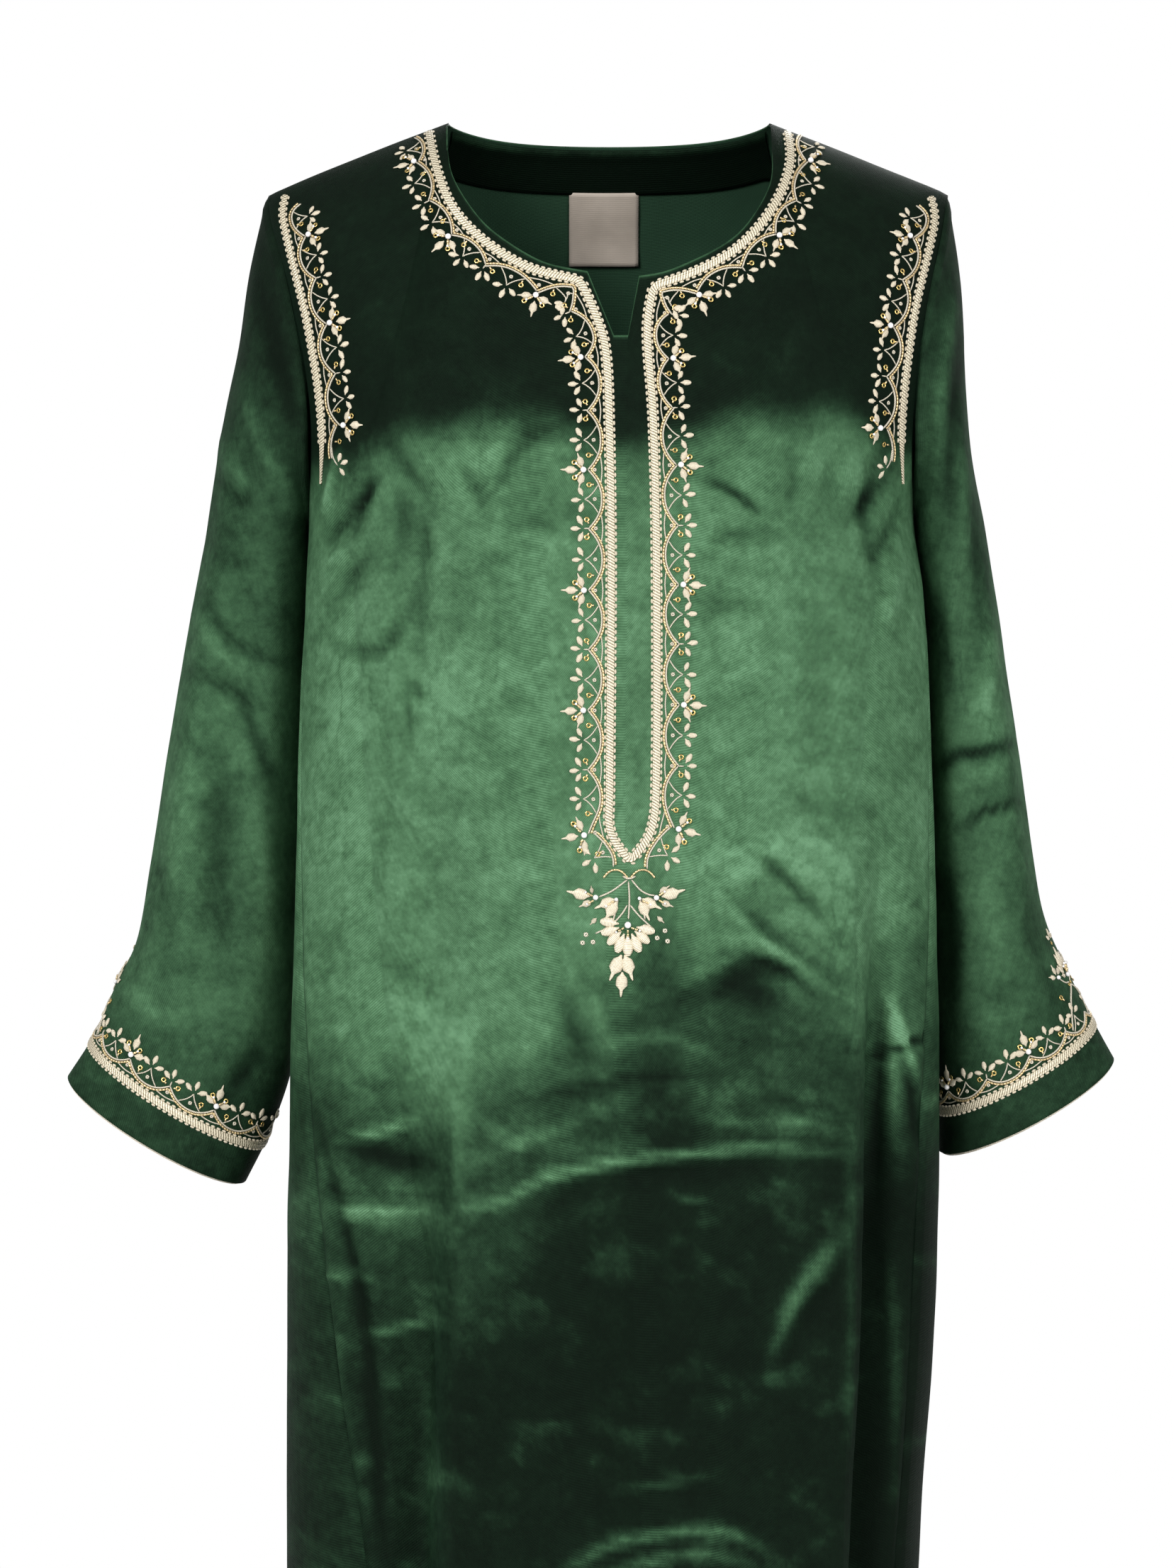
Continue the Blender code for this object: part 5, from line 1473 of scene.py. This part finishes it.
# name, the ring's radius, its wire's radius, points round each, and how flat it is pressed
RINGS = (("sequin", 0.00128, 0.00055, 12, 6, 0.55), ("knot", 0.00080, 0.00058, 10, 5, 0.75))
for name, major, minor, around, section, flatness in RINGS:
    bpy.ops.mesh.primitive_torus_add(
        major_radius=major, minor_radius=minor, major_segments=around, minor_segments=section
    )
    bpy.context.object.scale = (1.0, 1.0, flatness)
    units[name] = take_unit(name)

bpy.ops.mesh.primitive_cylinder_add(vertices=7, radius=0.00072, depth=0.00195, rotation=(0, math.pi / 2, 0))
bpy.ops.object.mode_set(mode="EDIT")
bpy.ops.mesh.select_all(action="SELECT")
bpy.ops.mesh.bevel(offset=0.00014, segments=1)
bpy.ops.object.mode_set(mode="OBJECT")
units["bugle"] = take_unit("bugle")

bpy.ops.mesh.primitive_uv_sphere_add(segments=8, ring_count=6, radius=0.00085)
bpy.context.object.scale = (1.0, 1.0, 0.9)
units["bead"] = take_unit("bead")

bpy.ops.mesh.primitive_uv_sphere_add(segments=16, ring_count=10, radius=0.0019)
bpy.context.object.scale = (1.0, 1.0, 0.92)
units["pearl"] = take_unit("pearl")

# %% [markdown]
# ## Sewing
# Sewing a unit notes its place and turn. Cords are noted as lines. All of one kind become one piece at
# the end, as the embroiderer changes thread and not cloth.

# %% Helpers for sewing
chance = np.random.default_rng(7)
sewn, cords = {}, []


def sew(kind, places, s, t, angle=0.0, size=1.0, lift=0.0003):
    point, turn = frame_at(places, s, t, math.radians(angle))
    sewn.setdefault(kind, []).append((point + turn[:, 2] * lift, turn * size))


def sew_out(kind, places, s, t, reach, turn, size=1.0, lift=0.0003):
    """A unit sewn at a distance from a place, pointing away from it."""
    way = math.radians(turn)
    sew(kind, places, s + reach * math.sin(way), t + reach * math.cos(way), turn, size, lift)


def lay_cord(places, drawn, radius=0.00058, smooth=True):
    """A cord along places given as (s, t), laid on the cloth."""
    drawn = np.array(drawn, float)
    length = np.linalg.norm(np.diff(drawn, axis=0), axis=1).sum()
    count = max(int(length / 0.0012), 2)
    line = smooth_line(drawn, count) if smooth else even_points(drawn, count)
    seated = [places.seat(s, t) for s, t in line]
    raised = np.array([point + normal * radius * 0.7 for point, normal in seated])
    cords.append((raised, np.array([normal for _, normal in seated]), radius))


def lay_bugles(places, drawn):
    """Gold bugles end to end along places given as (s, t)."""
    drawn = np.array(drawn, float)
    seated = np.array([places.seat(s, t)[0] for s, t in drawn])
    run = run_along(seated)
    count = int(run[-1] / 0.00205)
    for k in range(count):
        middle = (k + 0.5) * run[-1] / count
        s, t = (np.interp(middle, run, drawn[:, i]) for i in (0, 1))
        ahead = [np.interp(min(middle + 0.0008, run[-1]), run, drawn[:, i]) for i in (0, 1)]
        behind = [np.interp(max(middle - 0.0008, 0.0), run, drawn[:, i]) for i in (0, 1)]
        point, normal = places.seat(s, t)
        along = places.seat(*ahead)[0] - places.seat(*behind)[0]
        along -= normal * (along @ normal)
        along /= np.linalg.norm(along)
        turn = np.stack([along, np.cross(normal, along), normal], axis=1)
        sewn.setdefault("bugle", []).append((point + normal * 0.0006, turn))


def sew_sprig(places, s, t, angle=0.0, size=1.0, spread=62.0):
    """Three padded petals round one point."""
    for turn in (-spread, 0.0, spread):
        turn += angle + chance.uniform(-7, 7)
        sew_out("petal", places, s, t, 0.0021 * size, turn, size * chance.uniform(0.92, 1.08))


def sew_sequin(places, s, t, tail, size=1.0):
    """A sequin held by a short gold tail that points in the given direction."""
    sew("sequin", places, s, t, 0.0, size, 0.0004)
    sew_out("bugle", places, s, t, 0.0021 * size, tail, 0.85, 0.0008)


# kind, distance, lift and size of each part of a stamen
BLOSSOM_STAMEN = (
    ("bugle", 0.0030, 0.0014, 1.1), ("bugle", 0.0046, 0.0014, 0.8),
    ("sequin", 0.0074, 0.0012, 1.0), ("bead", 0.0060, 0.0018, 1.0),
)


def sew_blossom(places, s, t, angle=0.0, size=1.0):
    """A pearl, three pointed leaves, and two gold stamens that end in a bead and a sequin."""
    sew("pearl", places, s, t, 0.0, size, 0.0015)
    for turn, start, scale in ((-70.0, 0.0019, 0.88), (0.0, 0.0036, 0.98), (70.0, 0.0019, 0.88)):
        turn += angle + chance.uniform(-5, 5)
        sew_out("leaf", places, s, t, start * size, turn, size * scale)
    for turn in (-41.0, 41.0):
        for kind, reach, lift, scale in BLOSSOM_STAMEN:
            sew_out(kind, places, s, t, reach * size, turn + angle, scale, lift)


# %% [markdown]
# ## The vine
# A gold bugle line and a silver cord run side by side in scallops along each braid. Between two scallops
# they meet in a point that carries a pearl blossom or a small sprig, turn about, and each scallop holds a
# sprig on a forked stem. It is charted from these few sizes.

# %% Drawing the vine
SCALLOP_POWER, SCALLOP_TALL, VINE_GAP = 2.2, 0.215, 0.0007


def scallop(start, end, base, tall, count=26):
    """Places of one scallop from cusp to cusp."""
    share = np.linspace(-1, 1, count)
    s = start + (end - start) * (share + 1) / 2
    return np.stack([s, base + tall * np.abs(share) ** SCALLOP_POWER], axis=1)


def draw_vine(places, cusps, base, first=None, last=None):
    """The vine along a line, from its points (place along the line, blossom or sprig)."""
    stops = [(first, None)] * (first is not None) + list(cusps) + [(last, None)] * (last is not None)
    for (start, _), (end, _) in zip(stops, stops[1:]):
        span = end - start
        tall = SCALLOP_TALL * span
        drawn = scallop(start, end, base, tall)
        slope = np.gradient(drawn[:, 1], drawn[:, 0])
        off = VINE_GAP * np.sqrt(1 + slope**2)
        aside = np.stack([0 * off, off], axis=1)
        lay_bugles(places, drawn - aside)
        lay_cord(places, drawn + aside, smooth=False)
        middle = (start + end) / 2
        fork = 0.24 * span
        low = base + tall * 0.48**SCALLOP_POWER + 0.0012
        apex = base + 0.0102
        for hand in (-1, 1):
            stem = ((middle + hand * fork, low), (middle + hand * 0.52 * fork, low + 0.38 * (apex - low)),
                    (middle + hand * 0.16 * fork, apex - 0.0014), (middle, apex + 0.0012))
            lay_cord(places, stem, 0.00042)
        sew_sprig(places, middle, apex + 0.0012)
        sew("knot", places, middle, apex - 0.0052)
    for s, kind in cusps:
        stop = stops.index((s, kind))
        before = s - (stops[stop - 1][0] if stop > 0 else s - 0.034)
        tall = SCALLOP_TALL * before
        top = base + tall
        reach = 0.26 * before
        tie = ((s - reach, base + 0.0012), (s, base + 0.0002), (s + reach, base + 0.0012))
        lay_cord(places, tie, 0.00042)
        sew("knot", places, s, top - 0.0034)
        if kind == "blossom":
            sew_blossom(places, s, top + 0.0036)
            sew_sequin(places, s - 0.0094, top + 0.0002, 180.0)
            sew_sequin(places, s + 0.0094, top + 0.0002, 180.0)
        else:
            lay_cord(places, ((s, top + 0.0004), (s, top + 0.0040)), 0.0005, False)
            sew_sprig(places, s, top + 0.0038)
            sew_sequin(places, s - 0.0056, top + 0.0022, 115.0)
            sew_sequin(places, s + 0.0056, top + 0.0022, -115.0)

# %% [markdown]
# ## Braid lines and the vine's chart
# The braid follows the neck and the false placket, each front armhole, and each cuff 28 mm above its hem.
# Along every braid the vine's points come at listed distances, large and small by turns.

# %% Lines and charts
BRAID_NECK_RIGHT = (
    (-0.1172, -0.0085), (-0.1115, -0.0355), (-0.1025, -0.0610), (-0.0900, -0.0790), (-0.0715, -0.0950),
    (-0.0490, -0.1075), (-0.0210, -0.1145),
)
BRAID_PLACKET_RIGHT = (
    (-0.0175, -0.1175), (-0.0080, -0.1400), (-0.0023, -0.1630), (-0.0002, -0.2150), (0.0008, -0.3000),
    (-0.0002, -0.4300), (0.0002, -0.4620), (0.0110, -0.4795),
)
BRAID_PLACKET_LEFT = (
    (0.0140, -0.4795), (0.0262, -0.4600), (0.0290, -0.4190), (0.0290, -0.2900), (0.0272, -0.2050),
    (0.0240, -0.1600), (0.0240, -0.1400), (0.0270, -0.1215),
)
BRAID_NECK_LEFT = (
    (0.0300, -0.1180), (0.0546, -0.1090), (0.0790, -0.0950), (0.0975, -0.0757), (0.1105, -0.0530),
    (0.1166, -0.0310), (0.1160, -0.0085),
)
BRAID_ARM_RIGHT = (
    (-0.2105, -0.0500), (-0.2115, -0.0640), (-0.2070, -0.0840), (-0.2015, -0.1050), (-0.1950, -0.1300),
    (-0.1900, -0.1560), (-0.1860, -0.1820), (-0.1840, -0.2100), (-0.1850, -0.2400),
)
BRAID_ARM_LEFT = (
    (0.2095, -0.0510), (0.2110, -0.0660), (0.2068, -0.0850), (0.2015, -0.1050), (0.1955, -0.1300),
    (0.1915, -0.1560), (0.1885, -0.1820), (0.1870, -0.2100), (0.1885, -0.2400),
)
VINE_BASE = 0.0050
CUFF_BRAID_UP = 0.028
# Distances in millimetres down each braid from its top to each point of the vine, and its last end
NECK_STOPS = {
    "right": ((22, 50, 74, 101, 134, 174, 209, 244, 282, 319, 358, 395, 433, 470, 507), 527),
    "left": ((22, 49, 73, 101, 131, 171, 203, 234, 270, 308, 345, 382, 420, 458, 494), 519),
}
ARM_STOPS = (34, 64, 94, 126, 158)
CUFF_STOPS = (28, 61, 94, 127, 160)
# Where the middle of each cuff's vine lies, from the outer line towards the front
CUFF_MIDDLE = {"right": -0.009, "left": 0.015}


def turned(table):
    return tuple(reversed(table))


neck_line = BesideLine((BRAID_NECK_RIGHT, BRAID_PLACKET_RIGHT, BRAID_PLACKET_LEFT, BRAID_NECK_LEFT), 1)
neck_sides = {
    "right": BesideLine((BRAID_NECK_RIGHT, BRAID_PLACKET_RIGHT), 1),
    "left": BesideLine((turned(BRAID_NECK_LEFT), turned(BRAID_PLACKET_LEFT)), -1),
}
arm_sides = {"right": BesideLine((BRAID_ARM_RIGHT,), -1), "left": BesideLine((BRAID_ARM_LEFT,), 1)}
cuff_sides = {hand: RoundCuff(sleeves_laid[hand], CUFF_BRAID_UP) for hand in ("right", "left")}


def by_turns(stops, first="blossom"):
    """The stops in metres with a blossom and a sprig by turns."""
    kinds = ("blossom", "sprig") if first == "blossom" else ("sprig", "blossom")
    return [(stop / 1000, kinds[k % 2]) for k, stop in enumerate(stops)]


for hand, side in neck_sides.items():
    stops, last = NECK_STOPS[hand]
    draw_vine(side, by_turns(stops), VINE_BASE, 0.002, last / 1000)
for hand, side in arm_sides.items():
    draw_vine(side, by_turns(ARM_STOPS), VINE_BASE, 0.006)
    tail = scallop(0.158, 0.184, VINE_BASE, 0.004)[:20]
    lay_bugles(side, tail)
    lay_cord(side, tail + (0.0, 0.0014))
    twig = ((0.170, VINE_BASE + 0.0016), (0.177, VINE_BASE + 0.003), (0.182, VINE_BASE + 0.006))
    lay_cord(side, twig, 0.00045)
    sew_sprig(side, 0.182, VINE_BASE + 0.006, -20)
for hand, side in cuff_sides.items():
    middle, behind = CUFF_MIDDLE[hand], CUFF_MIDDLE[hand] + side.length
    stops = by_turns(CUFF_STOPS, "sprig")
    draw_vine(side, [(middle + s, kind) for s, kind in stops], VINE_BASE, middle)
    draw_vine(side, [(behind - s, kind) for s, kind in reversed(stops)], VINE_BASE, None, behind)
    draw_vine(side, [], VINE_BASE, middle + CUFF_STOPS[-1] / 1000, behind - CUFF_STOPS[-1] / 1000)
print("vine drawn", {kind: len(places) for kind, places in sewn.items()}, "cords", len(cords))

# %% [markdown]
# ## The leaf spray above each cuff
# At the outer line of each sleeve two gold rings sit above the vine, and over them stands a large toothed
# leaf with a pearl at its foot, three stamens, and a small sprig over its tip. A bud on a curved stem leans
# out on either side.

# %% Sprays on the sleeves
# turn, distance from the pearl and size of each tooth of the large leaf
SPRAY_TEETH = (
    (-72, 0.0024, 0.62), (72, 0.0024, 0.62), (-44, 0.0034, 0.86), (44, 0.0034, 0.86),
    (-20, 0.0046, 1.12), (20, 0.0046, 1.12), (0, 0.0060, 1.30),
)
# kind, distance, lift and size of each part of a stamen
SPRAY_STAMEN = (
    ("bugle", 0.0036, 0.0022, 1.0), ("bugle", 0.0056, 0.0024, 0.9), ("bead", 0.0074, 0.0022, 1.0),
)

def sew_spray(side, middle):
    foot = VINE_BASE + 0.030
    for sway in (-1, 1):
        lay_cord(side, ((middle, foot - 0.003), (middle + sway * 0.010, foot - 0.010),
                        (middle + sway * 0.018, foot - 0.020), (middle + sway * 0.022, VINE_BASE + 0.004)))
        lay_cord(side, ((middle + sway * 0.001, foot - 0.001), (middle + sway * 0.007, foot + 0.001),
                        (middle + sway * 0.012, foot + 0.006)), 0.0005)
        sew("sequin", side, middle + sway * 0.0026, foot - 0.002, 0.0, 0.9)
        sew("pearl", side, middle + sway * 0.0135, foot + 0.0075, 0.0, 0.75, 0.0012)
        for turn in (-48.0, 8.0, 62.0):
            sew_out("leaf", side, middle + sway * 0.0135, foot + 0.0075, 0.0022, sway * turn, 0.68)
        sew_sequin(side, middle + sway * 0.0185, foot - 0.004, 200.0 * sway)
    sew("pearl", side, middle, foot + 0.0035, 0.0, 0.85, 0.0014)
    for turn, start, size in SPRAY_TEETH:
        sew_out("leaf", side, middle, foot + 0.0035, start, turn, size)
    for turn in (-26.0, 0.0, 26.0):
        for kind, reach, lift, scale in SPRAY_STAMEN:
            sew_out(kind, side, middle, foot + 0.0035, reach, turn, scale, lift)
    sew("sequin", side, middle, foot + 0.0265, 0.0, 0.8)
    sew_sprig(side, middle, foot + 0.0285, 0.0, 0.9)


for hand, side in cuff_sides.items():
    sew_spray(side, CUFF_MIDDLE[hand])

# %% [markdown]
# ## Tape in the cuff hems
# A narrow cream tape finishes each cuff inside, and its edge peeks out under the hem. It is a short tube of
# cloth that follows the hem just inside it.

# %% Cuff tapes
TAPE_ROWS = (-0.0011, 0.0010, 0.0045, 0.0095)
TAPE_INSIDE, TAPE_THICK = 0.0018, 0.0005


def lay_tape(hand, flip):
    side = cuff_sides[hand]
    rings = []
    for up in TAPE_ROWS:
        ring = []
        for k in range(side.grid.shape[1]):
            low, high = side.on_column(k, 0.0), side.on_column(k, 0.004)
            inward = side.middle - low
            along = (high - low) / np.linalg.norm(high - low)
            inward -= along * (inward @ along)
            ring.append(low + along * up + inward / np.linalg.norm(inward) * TAPE_INSIDE)
        rings.append(ring)
    grid = np.array(rings[::-1])
    painted_light_and_crush = np.ones(grid.shape[:2])
    tape = make_sheet("cuff_tape_" + hand, grid, True, flip, painted_light_and_crush, (tape_cotton, tape_cotton), TAPE_THICK)
    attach(tape, "root")


tape_cotton = make_thread("tape_cotton", (0.50, 0.44, 0.34), (0.78, 0.72, 0.60), 0.0006, 0.0, 0.0, 0.7)
lay_tape("right", 1)
lay_tape("left", -1)
print("cuff tapes laid")

# %% [markdown]
# ## The pendant
# Under the placket's point the two vines cross, and a cluster hangs from them: two small blossoms on curved
# stems, two pairs of pointed leaves, a flower whose eight petals fan down from a pearl, berries on
# curved twigs, and a bud between two leaves.

# %% Pendant stitches
VINES_CROSS = (0.0119, -0.4905)


class PlainFront(FrontPlaces):
    """Places on the front by metres across and down from the point where the vines cross."""

    def seat(self, s, t):
        return FrontPlaces.seat(self, VINES_CROSS[0] + s, VINES_CROSS[1] - t)


plain = PlainFront()
PENDANT_STEMS = (
    # places across and down in mm from the crossing of the vines
    ((-1.1, 2.2), (-10.7, 9.2), (-18.8, 12.9)),
    ((1.5, 2.2), (7.0, 8.5), (12.2, 11.4), (16.6, 12.1)),
    ((-0.4, 3.3), (0.2, 14.0), (-0.4, 26.9)),
    ((-1.1, 18.0), (-4.8, 23.9), (-12.2, 31.3), (-21.0, 35.7)),
    ((0.7, 18.0), (7.0, 25.4), (15.8, 33.5)),
    ((-7.0, 14.0), (-8.0, 20.0), (-10.0, 28.0)),
    ((6.3, 13.0), (8.6, 20.0), (10.0, 27.0)),
)
PENDANT_LEAVES = (
    # foot and tip, across and down in mm
    ((-24.0, 12.5), (-37.5, 9.6)),
    ((-23.0, 10.9), (-23.6, 6.3)),
    ((-23.0, 15.5), (-30.5, 18.8)),
    ((20.0, 12.8), (33.5, 8.8)),
    ((18.8, 10.5), (24.7, 6.3)),
    ((19.5, 15.8), (26.9, 18.8)),
    ((-8.0, 14.2), (-20.2, 19.5)),
    ((-7.4, 15.4), (-14.7, 26.9)),
    ((7.6, 14.0), (19.1, 19.9)),
    ((6.6, 15.2), (12.2, 26.5)),
    ((-4.6, 48.8), (-11.4, 63.4)),
    ((-2.8, 48.8), (1.8, 63.4)),
    ((-4.2, 59.5), (-5.1, 73.7)),
    ((-20.2, 26.0), (-24.0, 30.0)),
    ((17.5, 25.0), (21.5, 28.8)),
)
PENDANT_PEARLS = (
    # across and down in mm, size
    (-20.8, 13.2, 0.9), (17.0, 13.4, 0.9), (-0.8, 30.4, 1.1), (-8.0, 14.4, 0.6), (6.4, 13.8, 0.6),
)
FLOWER_HEART, PETAL_GROWN = (-0.0008, 0.0304), 1.9
PENDANT_PETALS = (
    # turn and size
    (-98, 0.98), (-72, 0.98), (-46, 0.98), (-22, 1.06), (0, 1.12), (24, 1.06), (50, 0.98), (76, 0.98),
)
PENDANT_STAMENS = (
    ((-22.5, 12.4), (-27.0, 10.0)), ((-22.0, 15.0), (-26.2, 17.4)), ((18.6, 12.0), (22.0, 9.6)),
    ((18.6, 15.0), (22.2, 17.0)), ((-3.0, 32.0), (-8.0, 34.9)), ((-0.8, 33.2), (-0.7, 38.8)),
    ((1.2, 32.0), (6.6, 34.0)), ((-9.4, 15.4), (-14.4, 18.6)), ((8.0, 15.2), (13.4, 17.6)),
)
PENDANT_BERRIES = ((-26.9, 36.4), (-29.0, 41.5), (-22.5, 41.0), (22.4, 34.0), (17.5, 38.5), (24.0, 40.5))


def way_between(foot, tip):
    """The turn from straight down towards a tip, in degrees, and the distance, for places in mm."""
    across, down = tip[0] - foot[0], tip[1] - foot[1]
    return math.degrees(math.atan2(across, down)), math.hypot(across, down) / 1000


for stem in PENDANT_STEMS:
    lay_cord(plain, np.array(stem) / 1000, 0.00055)
for foot, tip in PENDANT_LEAVES:
    turn, reach = way_between(foot, tip)
    sew("leaf", plain, foot[0] / 1000, foot[1] / 1000, turn, reach / 0.0100, 0.0006)
for across, down, size in PENDANT_PEARLS:
    sew("pearl", plain, across / 1000, down / 1000, 0.0, size, 0.0022)
for turn, size in PENDANT_PETALS:
    sew_out("petal", plain, *FLOWER_HEART, 0.0026 + 0.0028 * size, turn, PETAL_GROWN * size, 0.0006)
for foot, tip in PENDANT_STAMENS:
    turn, reach = way_between(foot, tip)
    for share in (0.2, 0.6):
        sew_out("bugle", plain, foot[0] / 1000, foot[1] / 1000, share * reach, turn, 0.9, 0.0020)
    sew("bead", plain, tip[0] / 1000, tip[1] / 1000, 0.0, 0.9, 0.0020)
for across, down in PENDANT_BERRIES:
    sew("knot", plain, across / 1000, down / 1000, 0.0, 1.15)
lay_cord(plain, ((-0.0040, 0.0), (0.0, 0.0014), (0.0040, 0.0)), 0.0007)
for side in (-1, 1):
    lay_bugles(plain, scallop(side * 0.016, side * 0.001, -0.004, 0.005))

# %% [markdown]
# ## Braid with picots
# The braid is a band of metal thread with two thick edge cords and a raised middle, and small loops, called
# picots, stand along both sides. The band's cross-section is drawn once and laid along each line.

# %% Braid bands
BRAID_SECTION = (
    # across and up in mm
    (-2.35, 0.0), (-2.25, 0.75), (-1.75, 1.05), (-1.2, 0.62), (-0.65, 1.0), (0.0, 1.2),
    (0.65, 1.0), (1.2, 0.62), (1.75, 1.05), (2.25, 0.75), (2.35, 0.0),
)
BRAID_LIFT = 0.0002
PICOT_PITCH = 0.0041


def add_piece(name, points, faces, flat, material):
    """A smooth piece with flat coordinates, in metres, at each corner of its faces."""
    mesh = bpy.data.meshes.new(name)
    mesh.from_pydata(points, [], faces)
    layer = mesh.uv_layers.new(name="cloth")
    layer.data.foreach_set("uv", np.array(flat, np.float32).ravel())
    mesh.shade_smooth()
    mesh.materials.append(material)
    piece = bpy.data.objects.new(name, mesh)
    bpy.context.scene.collection.objects.link(piece)
    return piece


def braid_band(name, places, start, end, width, closed, node, tail=0.0):
    """A band laid along a line, narrowed over its tail, with flat coordinates in metres and picots."""
    count = max(int((end - start) / 0.002), 4)
    stations = np.linspace(start, end, count + 1)[: None if not closed else -1]
    section = np.array(BRAID_SECTION) / 1000 * (width, 1.0)
    rings = []
    for s in stations:
        narrow_here = 1.0 - 0.75 * float(ease((s - end + tail) / max(tail, 0.001)))
        lows = [places.seat(s, across * narrow_here) for across in section[:, 0]]
        middle = places.seat(s, 0.0)[1]
        rings.append([low + (up + BRAID_LIFT) * middle for (low, _), up in zip(lows, section[:, 1])])
    grid = np.array(rings)
    rows, columns = grid.shape[:2]
    index = np.arange(rows * columns).reshape(rows, columns)
    ahead = np.roll(index, -1, axis=0) if closed else index[1:]
    here = index if closed else index[:-1]
    faces = np.stack([here[:, :-1], ahead[:, :-1], ahead[:, 1:], here[:, 1:]], axis=-1).reshape(-1, 4)
    around = run_along(section)
    step = (end - start) / count
    flat = []
    for k in range(len(faces)):
        row, column = divmod(k, columns - 1)
        for r, c in ((row, column), (row + 1, column), (row + 1, column + 1), (row, column + 1)):
            flat.append((around[c], r * step))
    band = add_piece(name, grid.reshape(-1, 3).tolist(), faces.tolist(), flat, braid_thread)
    made = bmesh.new()
    made.from_mesh(band.data)
    made.faces.ensure_lookup_table()
    top = made.faces[(rows // 2) * (columns - 1) + columns // 2 - 1]
    if top.normal @ Vector(places.seat(stations[rows // 2], 0.0)[1]) < 0:
        bmesh.ops.reverse_faces(made, faces=made.faces)
    made.to_mesh(band.data)
    made.free()
    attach(band, "root")
    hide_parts(node)
    loops = int((end - start) / PICOT_PITCH)
    for k in range(loops):
        s = start + (k + 0.5) * (end - start) / loops
        if s > end - 0.7 * tail:
            continue
        for away in (-1, 1):
            sew("picot", places, s - 0.0015, away * (0.0023 * width + 0.0007), 90.0, 1.0, 0.0002)
    print(name, "stations", rows, "picots", 2 * loops)


braid_band("neck_braid_band", neck_line, 0.0, neck_line.length, 1.0, False, "neck_braid")
for hand in ("right", "left"):
    arm = arm_sides[hand]
    braid_band("armhole_band_" + hand, arm, 0.0, arm.length, 0.72, False, "armhole_braid_" + hand, 0.035)
    cuff = cuff_sides[hand]
    braid_band("cuff_band_" + hand, cuff, 0.0, cuff.length, 1.0, True, "cuff_braid_" + hand)

# %% [markdown]
# ## Stamping the stitches
# All placements of a unit become one mesh: its points are turned and moved to each place in one step, and
# its flat coordinates are repeated. The cords become thin six-sided tubes.

# %% Stamping
UNIT_LOOKS = {
    "petal": (satin_stitch, "braid"), "leaf": (satin_stitch, "goldwork"), "picot": (satin_stitch, "braid"),
    "sequin": (sequin_gold, "goldwork"), "knot": (silver_cord, "braid"), "bugle": (bugle_gold, "goldwork"),
    "bead": (pearl_white, "braid"), "pearl": (pearl_white, "braid"),
}


def stamp(kind):
    """One piece with a copy of the unit at each of its places."""
    unit = units[kind]
    points = np.empty(len(unit.vertices) * 3)
    unit.vertices.foreach_get("co", points)
    points = points.reshape(-1, 3)
    faces = [tuple(face.vertices) for face in unit.polygons]
    flat = np.array([points[v][:2] for face in faces for v in face], np.float32)
    placed, copies = [], []
    for k, (spot, turn) in enumerate(sewn[kind]):
        placed.append(points @ turn.T + spot)
        copies.extend(tuple(v + k * len(points) for v in face) for face in faces)
    flat = np.tile(flat, (len(sewn[kind]), 1))
    piece = add_piece(kind + "_stitches", np.vstack(placed).tolist(), copies, flat, UNIT_LOOKS[kind][0])
    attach(piece, "root")
    print(kind, len(sewn[kind]), "triangles", sum(len(face) - 2 for face in copies))
    return piece


stitches = {kind: stamp(kind) for kind in sewn}
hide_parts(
    "pendant_flower", "pendant_leaf_right", "pendant_leaf_left", "pendant_leaf_low_right",
    "pendant_leaf_low_left", "pendant_drop",
)


def tubes(name, lines, material):
    """Cords as six-sided tubes, with flat coordinates round and along them in metres."""
    points, faces, flat = [], [], []
    for line, normals, radius in lines:
        along = np.gradient(line, axis=0)
        along /= np.linalg.norm(along, axis=1)[:, None]
        across = np.cross(normals, along)
        across /= np.linalg.norm(across, axis=1)[:, None]
        up = np.cross(along, across)
        run = run_along(line)
        base, count = len(points), len(line)
        for k in range(count):
            thin = radius * (0.45 if k in (0, count - 1) else 1.0)
            for step in range(6):
                turn = math.tau * step / 6
                points.append(line[k] + thin * (across[k] * math.cos(turn) + up[k] * math.sin(turn)))
        for k in range(count - 1):
            for step in range(6):
                low, high = base + 6 * k, base + 6 * (k + 1)
                faces.append((low + step, low + (step + 1) % 6, high + (step + 1) % 6, high + step))
                part = math.tau * radius / 6
                one, two = step * part, (step + 1) * part
                flat.extend(((one, run[k]), (two, run[k]), (two, run[k + 1]), (one, run[k + 1])))
        faces.append(tuple(base + step for step in reversed(range(6))))
        faces.append(tuple(base + 6 * (count - 1) + step for step in range(6)))
        flat.extend([(0.0, 0.0)] * 12)
    piece = add_piece(name, [p.tolist() for p in points], faces, flat, material)
    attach(piece, "root")
    print(name, "triangles", sum(len(face) - 2 for face in faces))


tubes("vine_cords", cords, silver_cord)
